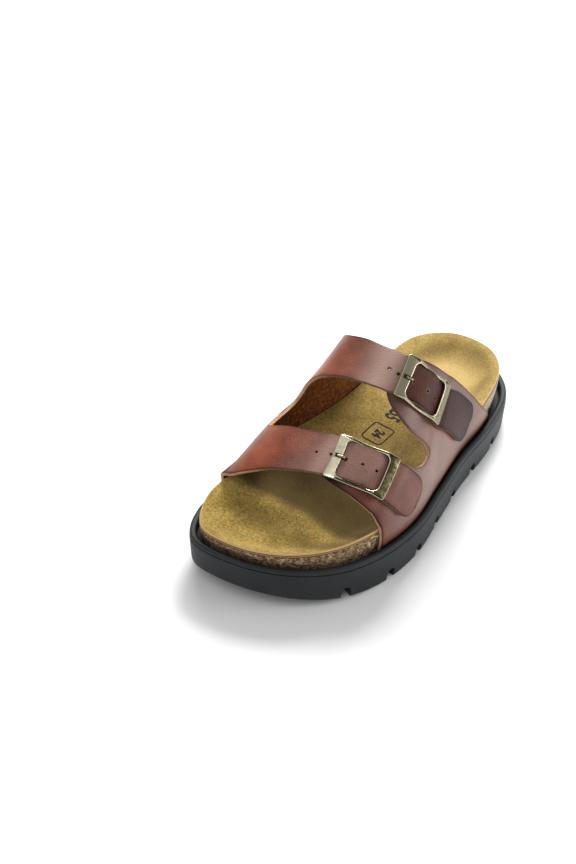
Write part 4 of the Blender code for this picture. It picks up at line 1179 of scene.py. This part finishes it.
def make_inner_quarter():
    """Inner quarter with both straps, their punched holes and the holes for the prongs."""
    cuts = cut_rows(INNER_FRONT, 2, INNER_REAR), cut_rows(INNER_REAR, 0, INNER_FRONT)
    strips, places, aims = [], [], []
    for line, tab, cut_out, holes in zip(LINES.values(), (OUTER_FRONT, OUTER_REAR), cuts, HOLES):
        end = tab_end(line, tab)
        strips.append((*[np.concatenate(pair) for pair in zip(cut_out, strap_rows(line, end))], None))
        for p, q in holes:
            flat = line.flat(p, q)
            places.append(LAST.off(*flat, strap_lift(p, end) - LEATHER / 2))
            aims.append(LAST.out(*flat))
    piece = leather_piece("leather_inner_quarter", strips, inner_tones, soft_waves)
    punch = tube("punch", [(0, 0, z) for z in (-PUNCH, 0, PUNCH)], HOLE, 18, LEATHER_FINISH, **BURNT)
    cut(piece, set_out("strap_holes", places, aims, punch, LEATHER_FINISH))
    *place, width = STRAP_HOLE
    for name, line in LINES.items():
        cut(piece, strap_box("prong_hole_" + name, line, place, width / 2, (-PAST_LEATHER, OVER_LEATHER)))
    return piece


def make_outer_quarter():
    """Outer quarter with bored loops for the centre bars and slots for the prongs."""
    strips = [(*cut_rows(OUTER_FRONT, 2, OUTER_REAR), LINES["front"]),
              (*cut_rows(OUTER_REAR, 0, OUTER_FRONT), LINES["rear"])]
    piece = leather_piece("leather_outer_quarter", strips, outer_tones)
    bore = CENTRE_BAR + BAR_PLAY
    reach = BUCKLE_WIDTH / 2 - SIDE_WIDTH - LOOP_PLAY
    near = SLOT_HALF + GAP
    for name, line in LINES.items():
        for side, ends in (("fore", (-reach, -near)), ("aft", (near, reach))):
            loop = tube(f"loop_{name}_{side}", line.bar(*ends, 4), bore + LOOP_WALL, 20, LEATHER_FINISH)
            cut(piece, loop, "UNION")
        cut(piece, tube("bore_" + name, line.bar(-reach - PAST_LOOP, reach + PAST_LOOP, 7), bore, 20, LEATHER_FINISH))
        cut(piece, strap_box("slot_" + name, line, (-EYE - EYE_WIRE - GAP, SLOT_END), SLOT_HALF,
                             (-LEATHER - PAST_LEATHER, HUMP)))
    return piece


# Buckles

def frame_lift(p):
    """Underside of the frame: level under its wide bars, sagging between them."""
    sag = np.clip(1 - (np.abs(p) / RAIL_END) ** 2, 0, 1)
    return FRAME_HIGH - (FRAME_HIGH - FRAME_LOW) * sag


def make_buckle(name, line, rubbed):
    """Frame, pale on top with wear and painted highlight and dark on its sides with patina and painted shade. The
    last argument says how pale the top of the bar on the inner side is: bare metal and painted highlight.
    """
    edge = [(1 - cos(a), 1 - sin(a)) for a in np.linspace(0, pi / 2, 5)]
    # how pale each ring of the section is: wear and painted highlight along the top, patina and painted shade below
    lower = [(inset, 0, down, 0) for inset, down in edge]
    outer, inner = ([(inset, 1, -down, worn) for (inset, down), worn in zip(edge, wear)]
                    for wear in ((0.0, 0.3, 0.75, 0.6, None), (0.1, 0.8, 1.0, 0.9, None)))
    shell = Shell()
    loops = []
    for side, length, width, corner, profile in (
            (-1, BUCKLE_LENGTH / 2, BUCKLE_WIDTH / 2, CORNER, lower[::-1] + outer),
            (1, BAR_START, BUCKLE_WIDTH / 2 - SIDE_WIDTH, WINDOW_CORNER, inner[::-1] + lower)):
        for inset, on_top, rise, worn in profile:
            grow = side * CHAMFER * inset
            p, q = round_rectangle(length + grow, width + grow, corner + grow, 8,
                                   np.linspace(RAIL_END, -RAIL_END, 17), np.linspace(0.0063, -0.0063, 9)).T
            if worn is None:
                worn = 0.03 + 0.16 * (rubbed < 0.5) + rubbed * step(p, 0.009, 0.003)
            lift = frame_lift(p) + on_top * BUCKLE_THICK + CHAMFER * rise
            loops.append(shell.add(line.at(p, q, lift), worn=worn))
    shell.bands(loops + loops[:1])
    piece = shell.build(name, BRASS_FINISH, 60)
    reach = BUCKLE_WIDTH / 2 - SIDE_WIDTH * 0.45
    cut(piece, tube(name + "_bar", line.bar(-reach, reach, 7), CENTRE_BAR, 16, BRASS_FINISH, worn=0.2), "UNION")
    rest = [line.at(p, 0.0, PRONG_LIFT) for p in np.linspace(BAR_START - 0.003, BAR_START + BAR_WIDTH * 0.66, 5)]
    cut(piece, tube(name + "_notch", rest, PRONG + GAP, 20, BRASS_FINISH, worn=0.0))
    return piece


def make_prong(name, line):
    """Wire with an eye round the centre bar, up through the strap and into the frame's notch."""
    turns = np.radians(np.linspace(30, 285, 18))
    eye = [(EYE * cos(a), BAR_LIFT + EYE * sin(a), EYE_WIRE) for a in turns]
    tip = BAR_START + BAR_WIDTH / 2
    run = [(0.0022, -0.0012, 0.00055), (0.0042, -0.0015, PRONG), (0.0082, -0.0015, PRONG),
           (0.0096, -0.0008, PRONG), (0.0100, 0.0010, PRONG), (0.0104, PRONG_LIFT - 0.0008, PRONG),
           (BAR_START - 0.0006, PRONG_LIFT, PRONG)]
    end = [(tip - 0.0001, PRONG_LIFT, PRONG * 0.8), (tip, PRONG_LIFT, PRONG * 0.4)]
    path = np.concatenate([eye, through(run, 4), end])
    return tube(name, [line.at(p, 0.0, lift) for p, lift, radius in path], path[:, 2], 14, BRASS_FINISH, worn=0.35)


for make, slot, node in (
        (make_outsole, "rubber", "outsole"), (make_cork, "cork", "cork_footbed"),
        (make_insole, "suede", "suede_insole"), (make_inner_quarter, "leather", "upper_medial"),
        (make_outer_quarter, "leather", "upper_lateral")):
    finish_piece(make(), node)
for (place, line), rubbed in zip(LINES.items(), (0.92, 0.16)):
    finish_piece(make_buckle("brass_buckle_" + place, line, rubbed), "buckle_" + place)
    finish_piece(make_prong("brass_prong_" + place, line), "prong_" + place)


# Floor, light and camera

def make_floor(size=6.0):
    mesh = bpy.data.meshes.new("floor")
    mesh.from_pydata([(-size, -size, 0), (size, -size, 0), (size, size, 0), (-size, size, 0)], [], [(0, 1, 2, 3)])
    mesh.materials.append(Finish("white paper floor", Roughness=0.9, Specular_IOR_Level=0.1,
                                 Base_Color="#f4f4f4").material)
    stand("floor", mesh)


def make_light(name, place, size, power, aim=(0.0, 0.0, 0.03)):
    """Round soft light aimed at the middle of the sandal."""
    data = bpy.data.lights.new(name, "AREA")
    data.shape, data.size, data.energy = "DISK", size, power
    light = stand(name, data)
    light.location = place
    light.rotation_euler = (Vector(aim) - Vector(place)).to_track_quat("-Z", "Y").to_euler()


def make_camera():
    """Camera at the photograph's angle, in degrees round the shoe, up from the floor and rolled."""
    around, above, roll = 32.8148, 38.4194, 1.5642
    data = bpy.data.cameras.new("camera")
    data.lens, data.sensor_width = 90.86, 36.0
    data.clip_start, data.clip_end = 0.05, 20.0
    camera = stand("camera", data)
    camera.matrix_world = Matrix.Translation((0.488670, -0.844615, 0.814457))
    for degrees, axis in ((around, "Z"), (90 - above, "X"), (roll, "Z")):
        camera.matrix_world = camera.matrix_world @ Matrix.Rotation(radians(degrees), 4, axis)
    bpy.context.scene.camera = camera


def make_world():
    world = bpy.data.worlds.new("studio")
    world.use_nodes = True
    background = world.node_tree.nodes["Background"].inputs
    background["Color"].default_value = (1.0, 1.0, 1.0, 1.0)
    background["Strength"].default_value = 0.42
    bpy.context.scene.world = world


make_floor()
make_world()
for light in (("soft_back", (-0.36, 0.95, 1.10), 0.60, 23.0), ("soft_left", (-0.85, 0.80, 1.22), 0.60, 6.5),
              ("soft_front", (0.10, -0.95, 1.25), 1.1, 5.0), ("soft_side", (1.25, 0.60, 0.45), 0.8, 8.0)):
    make_light(*light)
make_camera()
bpy.context.scene.view_settings.view_transform = "Standard"
